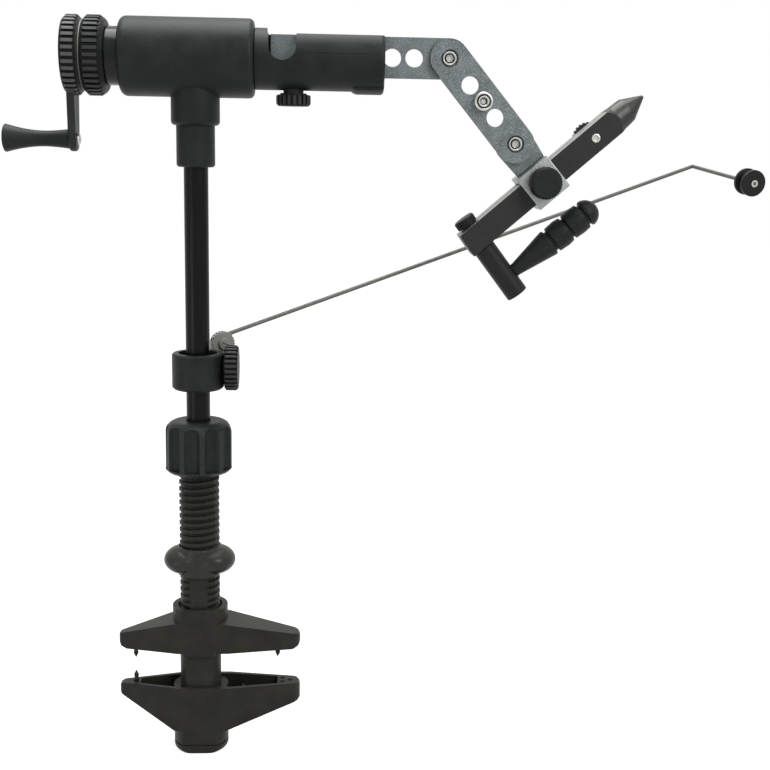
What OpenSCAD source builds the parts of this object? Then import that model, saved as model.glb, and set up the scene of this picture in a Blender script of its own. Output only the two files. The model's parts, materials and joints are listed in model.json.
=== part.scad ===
// Rotary fly tying vise on a table clamp.
// Z is up and X runs along the spindle, towards the jaws; Y points away from the viewer.
// The origin is on the post axis, at the rim of the lower clamp jaw, where the underside of the table rests.

/* [Clamp] */
// Gap between the clamp jaws
table_gap = 16; // [11:0.5:26]
// Length of the clamp arms on the left
arm_left = 35.3; // [30:0.5:42]
// Length of the clamp arms on the right
arm_right = 43.7; // [36:0.5:50]
// Radius of the round collar at the middle of each jaw
jaw_collar_r = 11.9; // [11.2:0.1:13]
// Wall of the hollow clamp jaws
jaw_wall = 2; // [1.5:0.1:2.6]
// Depth of the lower jaw, from its rim to the foot of the arms
lower_depth = 19.9; // [17:0.1:24]
// Height of the upper jaw where its arms meet the collar
upper_depth = 13.4; // [12:0.1:20]
// Length of a gripping spike
spike_len = 5; // [3:0.2:5.4]

/* [Thread] */
// Crest radius of the clamp thread
thread_r = 8.65; // [8.3:0.05:8.75]
// Depth of the clamp thread
thread_depth = 0.9; // [0.6:0.05:1.1]
// Rise of the thread for one turn
pitch = 3; // [2.5:0.1:3.5]
// Top of the threaded tube above the table's underside
tube_top = 112; // [108:0.5:114]
// Radius of the hand nut that carries the upper jaw, to the ends of its two wings
wing_r = 15.5; // [13:0.1:18]
// Height of the wing nut
wing_h = 12.8; // [11:0.1:14]
// Gap between the upper jaw and the wing nut backed off above it
wing_gap = 14.1; // [0.1:0.2:16.1]

/* [Post] */
// Diameter of the post
post_d = 10; // [9.6:0.1:10.2]
// Radius of the fluted collet nut
nut_r = 14.1; // [13:0.1:15.5]
// Height of the fluted collet nut
nut_h = 22; // [20:0.2:24]
// Number of flutes on the collet nut
flutes = 10; // [8:1:12]
// Height of the spindle axis above the table's underside
spindle_z = 267.4; // [262:0.2:275]

/* [Barrel] */
// Length of the barrel
barrel_len = 53.7; // [50:0.1:58]
// Radius of the barrel
barrel_r = 15.7; // [15:0.1:16.5]
// Radius of the spindle
spindle_r = 5; // [4.4:0.1:5.4]
// Radius of the two ribbed discs
disc_r = 15.8; // [15:0.1:17]
// Number of ribs on a disc
disc_ribs = 36; // [24:1:40]
// Length of the crank, from the spindle to the handle
crank_len = 33.1; // [28:0.1:38]
// Length of the crank handle
handle_len = 26.7; // [20:0.1:30]

/* [Head] */
// Radius of the head tube
head_r = 12.2; // [11.6:0.1:12.8]
// Length of the head tube past its collar
head_len = 47.2; // [42:0.1:50]
// Width of the two offset plates
plate_w = 16.3; // [15:0.1:17]
// Thickness of the offset plates
plate_t = 3; // [2.4:0.1:3.4]
// Distance from the head tube to the first pivot
pivot_reach = 26.4; // [24:0.1:30]
// Distance between the two pivots of the link
link_len = 43.7; // [40:0.1:50]
// Fall of the link below the horizontal, in degrees
link_fall = 50.1; // [40:0.1:60]
// Radius of the lightening holes
hole_r = 3.65; // [3:0.05:4]

/* [Jaws] */
// Slope of the jaws above the horizontal, in degrees
jaw_rise = 41; // [36:0.1:45]
// Height of the jaw bar
bar_h = 10.5; // [10:0.1:11.4]
// Depth of the jaw bar through both jaws
bar_depth = 12.8; // [12:0.1:13.6]
// Side of the square clamp block
block_w = 15.7; // [15.2:0.1:17]
// Radius of the ribbed knob on the block
block_knob_r = 6.55; // [6:0.05:7.2]
// Distance from the adjusting screw to the tip
tip_reach = 26.4; // [24:0.1:30]
// Distance from the adjusting screw to the cam shaft
cam_reach = 62.9; // [60:0.1:66]
// Lean of the cam shaft off the square, in degrees
cam_lean = 3.5; // [0:0.5:4]
// Radius of the cam cylinder
cam_r = 4.72; // [4.3:0.02:5]
// Length of the lever, from the cam shaft to its round end
lever_len = 48.1; // [42:0.1:52]

/* [Cradle] */
// Height of the cradle collar's foot
cradle_z = 131.7; // [130:0.1:140]
// Splay of the cradle wire behind the head, in degrees
wire_splay = 24; // [22:0.5:30]
// Rise of the cradle wire, in degrees
wire_rise = 16.3; // [14:0.1:18]
// Length of the long run of the cradle wire
wire_len = 265.1; // [240:0.1:270]
// Diameter of the cradle wire
wire_d = 1.8; // [1.6:0.1:2]
// Radius of the cradle wheel
wheel_r = 6.2; // [5:0.1:7]

/* [Hidden] */

// Overrun of every cut past the surface that it leaves
over = 1;
// Radial clearance of a running fit
fit = 0.05;
// Radial clearance of a loose hole
loose = 0.2;
// Gap between faces of pieces that move past each other
face_gap = 0.3;
// Smallest gap of faces that turn on each other
turn_gap = 0.1;
// Chamfer or small fillet on moulded edges
edge = 0.6;
$fn = 64;

// Colours of the finishes
black_plastic = "#2c2d2c";
clamp_plastic = "#2e2d29";
grey_plastic = "#565a5a";
steel = "#7c8283";
bright = "#c8c8c4";
black_steel = "#333333";

// Clamp column
root_r = thread_r - thread_depth;
sleeve_r = thread_r + fit*5;
tube_bore_r = post_d/2 + fit;
foot_r = post_d/2 + 1.1;
cap_h = 4.2;
lower_collar_h = lower_depth + 6.4;
cap_plug_h = 3;
cap_plug_r = foot_r - fit;
cap_z = -lower_collar_h - cap_h;
sleeve_top = table_gap + upper_depth*0.9;
upper_collar_h = upper_depth + 6.4;
flat_y = sleeve_r*0.775;
flat_top = table_gap + upper_collar_h + wing_gap + wing_h*0.95;
arm_centre_r = jaw_collar_r*0.94;
arm_tip_l = 2.4;
arm_tip_r = 4.4;
panel_y = jaw_collar_r*0.77;
lip_h = 1.3;
lip_in = 2.6;
collar_recess = 1.2;
recess_in = 0.6;
lower_end_l = 5.4;
lower_end_r = 8.4;
upper_end_l = 7;
upper_end_r = 6.8;
rib_t = 1.4;
end_round = 1.5;
rim_round = 2.8;
pad_l = 9;
pad_r = 10;
dimple_r = 1.1;
dimple_ring_r = 2.2;
pad_in = 6.8;
spike_r = 1.05;
spike_in_l = 7;
spike_in_r = 9.9;
spike_seat = 3;
wing_z = table_gap + upper_collar_h + wing_gap;
wing_hub_r = jaw_collar_r*0.86;
wing_slab = wing_r*1.05;

// Collet nut and post
nut_z = spindle_z - 171.4;
nut_shoulder = 5;
flute_r = nut_r*0.27;
flute_in = nut_r*0.165;
flute_x = nut_r + flute_r - flute_in;
flute_low = edge*2.5;
flute_top = nut_h - nut_shoulder*0.8;
flute_turn = 10.8;
collet_r = nut_r*0.5;
collet_h = 6;
collet_slit = 0.8;
nut_thread_r = thread_r + fit;
foot_h = 8;
post_neck_r = post_d/2 - 1;
foot_z = 30;
stop_top = nut_z - 2;
post_z = foot_z + foot_h*0.25;

// Barrel and spindle
barrel_x0 = -29.7;
barrel_x1 = barrel_x0 + barrel_len;
boss_r = barrel_r*0.63;
boss_low = spindle_z - 26.8;
neck_r = barrel_r*0.5;
neck_low = spindle_z - 43.5;
post_top = spindle_z - barrel_r*0.72;
bush_r = spindle_r + 2.6;
bush_flange = 1.6;
grey_r = disc_r*0.735;
drag_x0 = barrel_x0 - 14.1;
drag_x1 = barrel_x0 - 5.2;
drag_rim_share = [0.19, 0.73];
washer_t = 0.6;
washer_r = disc_r*0.885;
crank_x1 = drag_x0 - washer_t;
disc_w = 7.2;
disc_low = 1.4;
disc_high = 1.9;
crank_x0 = crank_x1 - disc_w;
rib_share = 0.5;
rib_h = 0.85;
arm_x0 = crank_x0 + 1;
arm_t = 3.1;
arm_w_top = 12;
arm_end_r = 4.9;
handle_x1 = arm_x0 - turn_gap;
handle_z = spindle_z - crank_len;
screw_r = 2;
screw_head_r = 2.45;
screw_head_h = 1.1;
barrel_screw_r = 2;
barrel_screw_z = boss_low - 8;
bush_rim = 1.5;

// Head tube, plates and link
head_x0 = barrel_x1 + turn_gap;
head_collar = 5;
tube_x0 = head_x0 + head_collar;
tube_x1 = tube_x0 + head_len;
tube_round = 1.5;
plate_drop = 1.6;
plate_z = spindle_z + plate_drop;
plate_top = plate_z + plate_w/2;
plate_x0 = tube_x0 + 1.4;
pivot_x = tube_x1 + pivot_reach;
window_r = 5.6;
window_x = tube_x0 + window_r + 0.6;
window_z = plate_top - window_r*0.9;
hole_pitch = 8.9;
plate_holes_x = [pivot_x - 14.1 - hole_pitch, pivot_x - 14.1];
thumb_x = tube_x0 + 10.6;
thumb_r = 7;
thumb_ribs = 20;
thumb_rib_h = 0.7;
thumb_top = spindle_z - head_r - 1.7;
thumb_h = 4.5;
thumb_neck_r = 4.1;
thumb_step_r = 5.4;
thumb_stud_r = 2;
slot_low = plate_z - plate_w/2 - face_gap;
link_gap = 0.1;
link_y1 = -plate_t/2 - link_gap;
link_y0 = link_y1 - plate_t;
link_end_r = plate_w/2 - 0.3;
link_hole_in = 13.55;
pin_r = 2.6;
pin_head_r = 3;
pin_head_h = 1.5;
pin_ring_r = 3.55;
cap_screw_r = 4;
cap_screw_h = 3.6;
hex_r = 1.6;
second_x = pivot_x + link_len*cos(link_fall);
second_z = plate_z - link_len*sin(link_fall);

// Jaw block, bar and cam
tongue_shift = 1.3;
tongue_drop = 19.3;
bracket_x = tongue_shift + 0.1;
bracket_r = link_end_r + 0.1;
screw_reach = 28.1;
block_wall_y = 1.7;
window_gap = 0.1;
block_y = bar_depth/2 + window_gap + block_wall_y;
knob_h = 6.4;
knob_ribs = 40;
knob_rib_h = 0.35;
knob_gap = 1.2;
knob_stud_r = 2.5;
split = 0.12;
relief = 1;
relief_from = -6;
shoulder_in = 8.3;
step_in = 13.8;
face_in = 16.4;
bar_rear = cam_reach + 6;
adjust_r = 1.6;
adjust_head_r = 1.95;
wheel_gap = 0.4;
adjust_wheel_r = 6.8;
adjust_wheel_t = 3;
adjust_ribs = 24;
adjust_rib_h = 0.5;
cam_core_r = 3;
cam_lobe = 0.5;
cam_bore_r = 3.9;
cam_low = -30;
cam_knob_r = 4.55;
cam_knob_h = 3.6;
cam_knob_ribs = 24;
cam_rib_h = 0.3;
cam_knob_z = bar_h/2 + face_gap + cam_knob_r*tan(cam_lean);
lever_z = -21.4;
lever_tilt = cam_lean*0.6;
lever_root_r = 2.85;
lever_cone_r = 5.9;
lever_ring_r = 5.75;
lever_groove_r = 4.6;
lever_dome_r = 5.95;
lever_groove = 1.25;

// Cradle
collar_r = 10.85;
collar_h = 15.2;
liner_r = 7;
recess_r = 8.1;
recess_h = 3;
liner_h = collar_h - recess_h - 1.2;
knob_x0 = collar_r + 0.5;
knob_w = 5.7;
collar_knob_r = 9.6;
collar_knob_ribs = 27;
collar_rib_h = 1.05;
knob_z = cradle_z + 8.9;
tilt_x = 13.6;
tilt_z = cradle_z + 17.5;
holder_r = 5.2;
holder_y0 = 5.6;
holder_y1 = 9.2;
holder_ribs = 24;
holder_rib_h = 0.35;
ear_y0 = holder_y1 + face_gap;
ear_y1 = ear_y0 + 2.8;
axle_r = 1.5;
lug_share = 0.56;
wire_y = (holder_y0 + holder_y1)/2;
wire_lift = 2.95;
wire_back = 4;
wire_bend_r = 3;
reach_turn = 102.2;
reach_dip = 6.5;
reach_len = 60.4;
wheel_w = 7.8;
wheel_hub_r = wheel_r*0.55;
flange_w = 1.7;

function arc(r, a0, a1, n) = [for (i = [0:n]) let (a = a0 + (a1 - a0)*i/n) [r*cos(a), r*sin(a)]];

// A rod along X with its profile given as [x, r] points
module turned_x(points) {
  rotate([0, 90, 0]) rotate_extrude() polygon([for (p = points) [p[1], p[0]]]);
}

module rod_x(r, x0, x1) translate([x0, 0, 0]) rotate([0, 90, 0]) cylinder(r = r, h = x1 - x0);
module rod_y(r, y0, y1) translate([0, y0, 0]) rotate([-90, 0, 0]) cylinder(r = r, h = y1 - y0);
module rod_z(r, z0, z1) translate([0, 0, z0]) cylinder(r = r, h = z1 - z0);
module ring_z(r, bore, z0, z1) difference() {
  rod_z(r, z0, z1);
  rod_z(bore, z0 - over, z1 + over);
}

// Outline of a disc with square ribs
module ribbed_outline(r, count, depth) {
  step = 360/count;
  polygon([for (i = [0:count - 1], k = [0:3])
    let (a = (i + [0, rib_share, rib_share, 1][k])*step, q = k < 2 ? r : r - depth) [q*cos(a), q*sin(a)]]);
}

// A ribbed disc along Z from 0 to h, with its edges chamfered low and high
module ribbed_disc(r, h, count, depth, low, high) {
  intersection() {
    linear_extrude(h) ribbed_outline(r, count, depth);
    rotate_extrude() polygon([[0, 0], [r - low, 0], [r + edge, low + edge], [r + edge, h - high - edge],
      [r - high, h], [0, h]]);
  }
}

// Helical ridge of the clamp thread, from z0 up, as one closed band
module thread_ridge(z0, turns) {
  steps = 20;
  sink = 0.3;
  half = pitch*0.42;
  crest = pitch*0.2;
  n = turns*steps;
  section = [[root_r - sink, -half], [thread_r, -crest], [thread_r, crest], [root_r - sink, half]];
  ridge_points = [for (i = [0:n]) for (p = section)
    let (a = 360*i/steps, z = z0 + pitch*i/steps + p[1]) [p[0]*cos(a), p[0]*sin(a), z]];
  sides = [for (i = [0:n - 1]) for (k = [0:3])
    let (a = 4*i + k, b = 4*i + (k + 1)%4) each [[a, b, b + 4], [a, b + 4, a + 4]]];
  ends = [[0, 2, 1], [0, 3, 2], [4*n, 4*n + 1, 4*n + 2], [4*n, 4*n + 2, 4*n + 3]];
  polyhedron(ridge_points, concat(sides, ends));
}

// Leaf-shaped plan of a clamp jaw, drawn in by a wall
module jaw_plan(wall) {
  hull() {
    circle(r = arm_centre_r - wall);
    translate([-arm_left + arm_tip_l, 0]) circle(r = arm_tip_l - wall*0.8);
    translate([arm_right - arm_tip_r, 0]) circle(r = arm_tip_r - wall*0.8);
  }
}

// Side outline of the arms: flat rim at z = 0 and sloping foot
module arm_side(end_l, end_r, depth, lift, rim) {
  x = jaw_collar_r*0.95;
  polygon([[-arm_left, -rim], [-arm_left + rim*0.3, -rim*0.4], [-arm_left + rim*1.2, 0], [arm_right - rim*1.2, 0],
    [arm_right - rim*0.3, -rim*0.4], [arm_right, -rim], [arm_right, -end_r + end_round*0.7 + lift],
    [arm_right - end_round*0.7, -end_r + lift], [x, -depth + lift], [-x, -depth + lift],
    [-arm_left + end_round*0.5, -end_l + lift], [-arm_left, -end_l + end_round*0.5 + lift]]);
}

module arm_prism(end_l, end_r, depth, lift, width, rim) {
  translate([0, width/2, 0]) rotate([90, 0, 0]) linear_extrude(width) arm_side(end_l, end_r, depth, lift, rim);
}

// Hollow jaw with its rim at z = 0, opening upwards; the bore is cut by the caller
module jaw_shell(end_l, end_r, depth, rim) {
  w = jaw_collar_r*2;
  difference() {
    intersection() {
      linear_extrude(depth*3, center = true) jaw_plan(0);
      arm_prism(end_l, end_r, depth, 0, w, rim);
    }
    intersection() {
      translate([0, 0, -depth*2 + over]) linear_extrude(depth*2) jaw_plan(jaw_wall);
      translate([0, 0, over]) arm_prism(end_l, end_r, depth, jaw_wall, w, rim);
      translate([-arm_left + pad_l, jaw_wall - panel_y, -depth*2])
        cube([arm_left + arm_right - pad_l - pad_r, (panel_y - jaw_wall)*2, depth*3]);
    }
  }
  for (x = [-arm_left*0.55, arm_right*0.42])
    intersection() {
      translate([x - rib_t/2, -w, -depth*2]) cube([rib_t, w*2, depth*2 - jaw_wall*2]);
      linear_extrude(depth*3, center = true) jaw_plan(jaw_wall/2);
      arm_prism(end_l, end_r, depth, 0, w, rim);
    }
}

module column_flats(z0, z1, slack) {
  for (s = [-1, 1])
    translate([-sleeve_r*2, s > 0 ? flat_y + slack : -flat_y - slack - sleeve_r*2, z0])
      cube([sleeve_r*4, sleeve_r*2, z1 - z0]);
}

// Cuts flat front and back panels, set in by inset
module between_panels(z0, z1, inset = 0) intersection() {
  translate([-arm_left*2, inset - panel_y, z0]) cube([arm_left*2 + arm_right*2, (panel_y - inset)*2, z1 - z0]);
  children();
}

module clamp_tube() color(clamp_plastic) {
  thread_low = sleeve_top + pitch*0.5;
  thread_turns = floor((tube_top - thread_low)/pitch) - 1;
  difference() {
    union() {
      rod_z(sleeve_r, -lower_collar_h, sleeve_top);
      rod_z(root_r, sleeve_top - edge, tube_top);
      thread_ridge(thread_low, thread_turns);
    }
    column_flats(-lower_collar_h - over, flat_top, 0);
    rod_z(tube_bore_r, -lower_collar_h - over, tube_top + over);
    rod_z(foot_r + fit, -lower_collar_h - over, stop_top);
    translate([0, 0, tube_top - collet_h/2]) cylinder(r1 = tube_bore_r, r2 = collet_r, h = collet_h/2 + over);
  }
}

module lower_jaw() color(clamp_plastic) {
  difference() {
    between_panels(-lower_collar_h, 0) union() {
      jaw_shell(lower_end_l, lower_end_r, lower_depth, end_round);
      rod_z(jaw_collar_r, -lower_collar_h, -collar_recess);
    }
    difference() {
      rod_z(sleeve_r, -lower_collar_h - over, over);
      column_flats(-lower_collar_h - over*2, over*2, 0);
    }
    for (a = [0, 120, 240])
      translate([arm_right - pad_in, 0, 0]) rotate([0, 0, a]) translate([dimple_ring_r, 0, 0])
        sphere(r = dimple_r, $fn = 24);
    translate([-arm_left + spike_in_l, 0, -spike_seat]) rod_z(spike_r, 0, spike_seat + over);
    translate([-arm_left + spike_in_l + dimple_r*2.7, 0, 0]) sphere(r = dimple_r, $fn = 24);
  }
}

module end_cap() color(clamp_plastic) {
  difference() {
    union() {
      between_panels(cap_z, cap_z + cap_h) translate([0, 0, cap_z]) rotate_extrude() polygon(concat([[0, 0]],
        [for (p = arc(cap_h*0.55, -90, 0, 6)) [jaw_collar_r - cap_h*0.55 + p[0], cap_h*0.55 + p[1]]],
        [[jaw_collar_r, cap_h - edge], [0, cap_h - edge]]));
      between_panels(cap_z + cap_h/2, cap_z + cap_h, edge) rod_z(jaw_collar_r - edge, cap_z + cap_h/2, cap_z + cap_h);
      rod_z(cap_plug_r, -lower_collar_h - edge, -lower_collar_h + cap_plug_h);
    }
    rod_z(cap_plug_r - jaw_wall, -lower_collar_h + edge, -lower_collar_h + cap_plug_h + over);
  }
}

// Gripping pin with a pointed end, from the jaw's face upwards
module spike() {
  point = spike_r*1.8;
  rod_z(spike_r, -spike_seat, spike_len - point);
  translate([0, 0, spike_len - point]) cylinder(r1 = spike_r, r2 = spike_r*0.25, h = point);
}

module lower_spike() color(steel) translate([-arm_left + spike_in_l, 0, 0]) spike();

module upper_spikes() color(steel) translate([0, 0, table_gap])
  for (x = [-arm_left + spike_in_l, arm_right - spike_in_r]) translate([x, 0, 0]) mirror([0, 0, 1]) spike();

module upper_jaw() color(clamp_plastic) translate([0, 0, table_gap]) {
  bore = sleeve_r + fit;
  difference() {
    union() {
      between_panels(0, upper_collar_h) union() {
        mirror([0, 0, 1]) jaw_shell(upper_end_l, upper_end_r, upper_depth, rim_round);
        rod_z(jaw_collar_r, 0, upper_collar_h);
      }
      for (s = [-1, 1]) translate([-flat_y, s > 0 ? panel_y - lip_in : -panel_y, -lip_h])
        cube([flat_y*2, lip_in, lip_h + edge]);
    }
    difference() {
      rod_z(bore, -lip_h - over, upper_collar_h + over);
      column_flats(-lip_h - over*2, upper_collar_h + over*2, fit);
    }
    difference() {
      rod_z(bore + recess_in, upper_collar_h - collar_recess, upper_collar_h + over);
      column_flats(0, upper_collar_h + over*2, recess_in);
    }
    for (x = [-arm_left + spike_in_l, arm_right - spike_in_r])
      translate([x, 0, 0]) rod_z(spike_r, -over, spike_seat);
  }
}

module wing_nut() color(clamp_plastic) translate([0, 0, wing_z]) {
  difference() {
    union() {
      rotate_extrude() polygon([[0, 0], [wing_hub_r - edge, 0], [wing_hub_r, edge], [wing_hub_r, wing_h - edge],
        [wing_hub_r - edge, wing_h], [0, wing_h]]);
      intersection() {
        translate([0, 0, wing_h/2]) rotate_extrude()
          polygon([for (p = arc(1, -90, 90, 16)) [wing_r*p[0], wing_h*0.63*p[1]]]);
        translate([-wing_r, -wing_slab/2, 0]) cube([wing_r*2, wing_slab, wing_h]);
      }
    }
    rod_z(nut_thread_r, -over, wing_h + over);
  }
}

module collet() color(grey_plastic) {
  translate([0, 0, tube_top + turn_gap]) difference() {
    union() {
      cylinder(r1 = collet_r, r2 = collet_r, h = collet_h*0.3);
      translate([0, 0, collet_h*0.3]) cylinder(r1 = collet_r - edge, r2 = post_d/2 + edge, h = collet_h*0.25);
    }
    rod_z(post_d/2 + fit, -over, collet_h + over);
    translate([0, -collet_slit/2, -over]) cube([collet_r + over, collet_slit, collet_h + over*2]);
  }
}

module collet_nut() color(black_plastic) translate([0, 0, nut_z]) {
  difference() {
    rotate_extrude() polygon(concat([[0, 0], [nut_r - edge*2, 0], [nut_r, edge*2]],
      [for (p = arc(nut_shoulder, 0, 90, 8)) [nut_r - nut_shoulder + p[0], nut_h - nut_shoulder + p[1]]],
      [[0, nut_h]]));
    rod_z(post_d/2 + loose, -over, nut_h + over);
    rod_z(nut_thread_r, -over, tube_top - nut_z + turn_gap*2);
    rod_z(collet_r + fit, 0, tube_top - nut_z + collet_h*0.3 + turn_gap*2);
    translate([0, 0, tube_top - nut_z + collet_h*0.3 + turn_gap*2])
      cylinder(r1 = collet_r - edge + fit, r2 = post_d/2 + edge + fit, h = collet_h*0.25);
    for (i = [0:flutes - 1]) rotate([0, 0, flute_turn + i*360/flutes]) translate([flute_x, 0, 0]) {
      rod_z(flute_r, flute_low, flute_top);
      translate([0, 0, flute_top]) sphere(r = flute_r, $fn = 32);
    }
  }
}

module post_foot() color(grey_plastic) difference() {
  rod_z(foot_r, foot_z, foot_z + foot_h);
  rod_z(post_neck_r + fit, foot_z - over, foot_z + foot_h + over);
  rod_z(post_d/2 + fit, foot_z + foot_h/2, foot_z + foot_h + over);
}

module post() color(black_plastic) {
  rod_z(post_d/2, foot_z + foot_h/2 + turn_gap, post_top);
  rod_z(post_neck_r, foot_z - edge, foot_z + foot_h/2 + over);
  rod_z(post_d/2, foot_z - foot_h/4 - turn_gap, foot_z - turn_gap);
}

module barrel() color(black_plastic) {
  left = 3;
  right = 2.2;
  lip = 1.2;
  difference() {
    union() {
      translate([0, 0, spindle_z]) turned_x(concat([[barrel_x0, 0]],
        [for (p = arc(left, 180, 90, 8)) [barrel_x0 + left + p[0], barrel_r - left + p[1]]],
        [for (p = arc(right, 90, 0, 8)) [barrel_x1 - right + p[0], barrel_r - right + p[1]]],
        [[barrel_x1, 0]]));
      rotate_extrude() polygon(concat([[0, neck_low]],
        [for (p = arc(lip, -90, 0, 5)) [neck_r - lip + p[0], neck_low + lip + p[1]]],
        [[neck_r, boss_low]],
        [for (p = arc(lip*1.4, -90, 0, 5)) [boss_r - lip*1.4 + p[0], boss_low + lip*1.4 + p[1]]],
        [[boss_r, spindle_z], [0, spindle_z]]));
    }
    rod_z(post_d/2, neck_low - over, post_top);
    translate([0, 0, spindle_z]) {
      rod_x(bush_r, barrel_x0 - over, barrel_x1 + over);
      rod_x(bush_r + bush_rim, barrel_x1 - bush_flange, barrel_x1 + over);
    }
    translate([0, 0, barrel_screw_z]) rod_y(barrel_screw_r, 0, barrel_r);
  }
}

module neck_bush() color(grey_plastic) translate([0, 0, spindle_z]) difference() {
  union() {
    rod_x(grey_r, drag_x1 + turn_gap, barrel_x0);
    rod_x(bush_r, barrel_x0 - edge, barrel_x0 + barrel_len*0.3);
  }
  rod_x(spindle_r + fit, drag_x1 - over, barrel_x1);
}

module front_bush() color(grey_plastic) translate([0, 0, spindle_z]) difference() {
  union() {
    rod_x(bush_r + bush_rim, barrel_x1 - bush_flange, barrel_x1);
    rod_x(bush_r, barrel_x1 - barrel_len*0.3, barrel_x1 - bush_flange/2);
  }
  rod_x(spindle_r + fit, barrel_x0, barrel_x1 + over);
}

module barrel_screw() color(steel) translate([0, 0, barrel_screw_z]) difference() {
  rod_y(barrel_screw_r, post_d/2, neck_r - edge);
  rod_y(barrel_screw_r*0.5, neck_r - edge*3, neck_r, $fn = 6);
}

module spindle() color(steel) translate([0, 0, spindle_z]) {
  rod_x(spindle_r, crank_x0 + edge*2, tube_x0 + edge);
}

module crank() color(black_plastic) translate([0, 0, spindle_z]) {
  difference() {
    union() {
      translate([crank_x0, 0, 0]) rotate([0, 90, 0]) ribbed_disc(disc_r, disc_w, disc_ribs, rib_h, disc_low, disc_high);
      hull() {
        translate([arm_x0, -arm_w_top/2, -disc_r*0.6]) cube([arm_t, arm_w_top, disc_r*0.3]);
        translate([0, 0, -crank_len]) {
          rod_x(arm_end_r - edge, arm_x0, arm_x0 + arm_t, $fn = 32);
          rod_x(arm_end_r, arm_x0 + edge, arm_x0 + arm_t - edge, $fn = 32);
        }
      }
    }
    rod_x(spindle_r, crank_x0 + edge*2, crank_x1 + over);
    translate([0, 0, -crank_len]) rod_x(screw_r, arm_x0 - over, arm_x0 + arm_t + over);
  }
}

module friction_washer() color(grey_plastic) translate([0, 0, spindle_z]) difference() {
  rod_x(washer_r, crank_x1, drag_x0 - turn_gap);
  rod_x(spindle_r, crank_x1 - over, drag_x0 + over);
}

module drag_nut() color(black_plastic) translate([0, 0, spindle_z]) difference() {
  w = drag_x1 - drag_x0;
  intersection() {
    translate([drag_x0, 0, 0]) rotate([0, 90, 0]) linear_extrude(w) ribbed_outline(disc_r, disc_ribs, rib_h);
    turned_x([[drag_x0, 0], [drag_x0, disc_r - w*drag_rim_share[0]], [drag_x0 + w*drag_rim_share[0], disc_r],
      [drag_x0 + w*drag_rim_share[1], disc_r], [drag_x1 - edge, disc_r*0.92], [drag_x1, disc_r*0.87],
      [drag_x1, 0]]);
  }
  rod_x(spindle_r + fit, drag_x0 - over, drag_x1 + over);
}

module handle_screw() color(bright) translate([0, 0, handle_z]) difference() {
  union() {
    rod_x(screw_r, handle_x1 - handle_len*0.6, arm_x0 + arm_t + edge);
    translate([arm_x0 + arm_t, 0, 0]) turned_x([[0, 0], [0, screw_head_r], [screw_head_h*0.6, screw_head_r],
      [screw_head_h, screw_head_r*0.7], [screw_head_h, 0]]);
  }
  rod_x(screw_r*0.5, arm_x0 + arm_t + screw_head_h*0.3, arm_x0 + arm_t + screw_head_h + over, $fn = 6);
}

module crank_handle() color(black_plastic) translate([0, 0, handle_z]) difference() {
  x0 = handle_x1 - handle_len;
  waist = 3.15;
  big = 5.65;
  small = 3.95;
  turned_x(concat([[x0, 0]],
    [for (i = [1:6]) let (t = i/6) [x0 + handle_len*0.04*(1 - sqrt(1 - t*t*0.96)), big*0.97*t]],
    [for (i = [0:14]) let (t = i/14, x = x0 + handle_len*(0.05 + 0.95*t))
      [x, waist + (t < 0.62 ? (big - waist)*pow(1 - t/0.62, 1.9) : (small - waist)*pow((t - 0.62)/0.38, 1.6))]],
    [[handle_x1, 0]]));
  rod_x(screw_r + fit, handle_x1 - handle_len*0.6 - turn_gap, handle_x1 + over);
}

// Rounded end of the head tube, as [x, r] points up to the axis
function tube_end() = concat([for (p = arc(tube_round, 90, 0, 6))
  [tube_x1 - tube_round + p[0], head_r - tube_round + p[1]]], [[tube_x1, 0]]);

module head_tube() color(black_plastic) translate([0, 0, spindle_z]) {
  pad = 1.1;
  pad_w = 12;
  pad_x = tube_x1 - pad_w;
  difference() {
    union() {
      turned_x([[head_x0, 0], [head_x0, head_r - edge/2], [head_x0 + edge/2, head_r], [tube_x0, head_r], [tube_x0, 0]]);
      difference() {
        turned_x(concat([[tube_x0 - edge, 0], [tube_x0 - edge, head_r]], tube_end()));
        translate([tube_x0, -head_r*2, plate_top - spindle_z]) cube([head_len + over, head_r*4, head_r]);
      }
      intersection() {
        translate([pad_x - pad*2, -head_r*0.5, -head_r - pad]) cube([head_len, head_r, head_r]);
        translate([0, 0, -pad]) turned_x(concat([[pad_x - pad*2, 0], [pad_x - pad*2, head_r - pad*1.5],
          [pad_x, head_r - pad/4], [pad_x + pad, head_r]], tube_end()));
      }
    }
    rod_x(spindle_r, head_x0 - over, tube_x0 + edge);
    translate([tube_x0, -plate_t/2 - turn_gap, slot_low - spindle_z])
      cube([head_len + over, plate_t + turn_gap*2, head_r*3]);
    translate([window_x, 0, window_z - spindle_z]) rod_y(window_r, -head_r*2, 0);
    translate([window_x - window_r, -head_r*2, window_z - spindle_z]) cube([window_r*2, head_r*2, head_r*2]);
    translate([thumb_x, 0, 0]) rod_z(thumb_stud_r + fit, -head_r - over, 0);
    translate([thumb_x, 0, 0]) rod_z(thumb_neck_r + loose, -head_r - over, -head_r + edge*2);
  }
}

module head_thumbscrew() color(black_plastic) translate([thumb_x, 0, 0]) {
  low = thumb_top - thumb_h;
  translate([0, 0, low]) ribbed_disc(thumb_r, thumb_h, thumb_ribs, thumb_rib_h, edge*1.5, edge*0.8);
  rod_z(thumb_step_r, thumb_top - edge, thumb_top + edge);
  rod_z(thumb_neck_r, thumb_top, spindle_z - head_r + edge);
  rod_z(thumb_stud_r, thumb_top, slot_low + face_gap/2);
}

// Flat bar along X from x0 to the round end at x = 0, w wide
module round_plate(x0, w, y0, y1) {
  translate([0, y1, 0]) rotate([90, 0, 0]) linear_extrude(y1 - y0) union() {
    circle(r = w/2);
    translate([x0, -w/2]) square([-x0, w]);
  }
}

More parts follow.
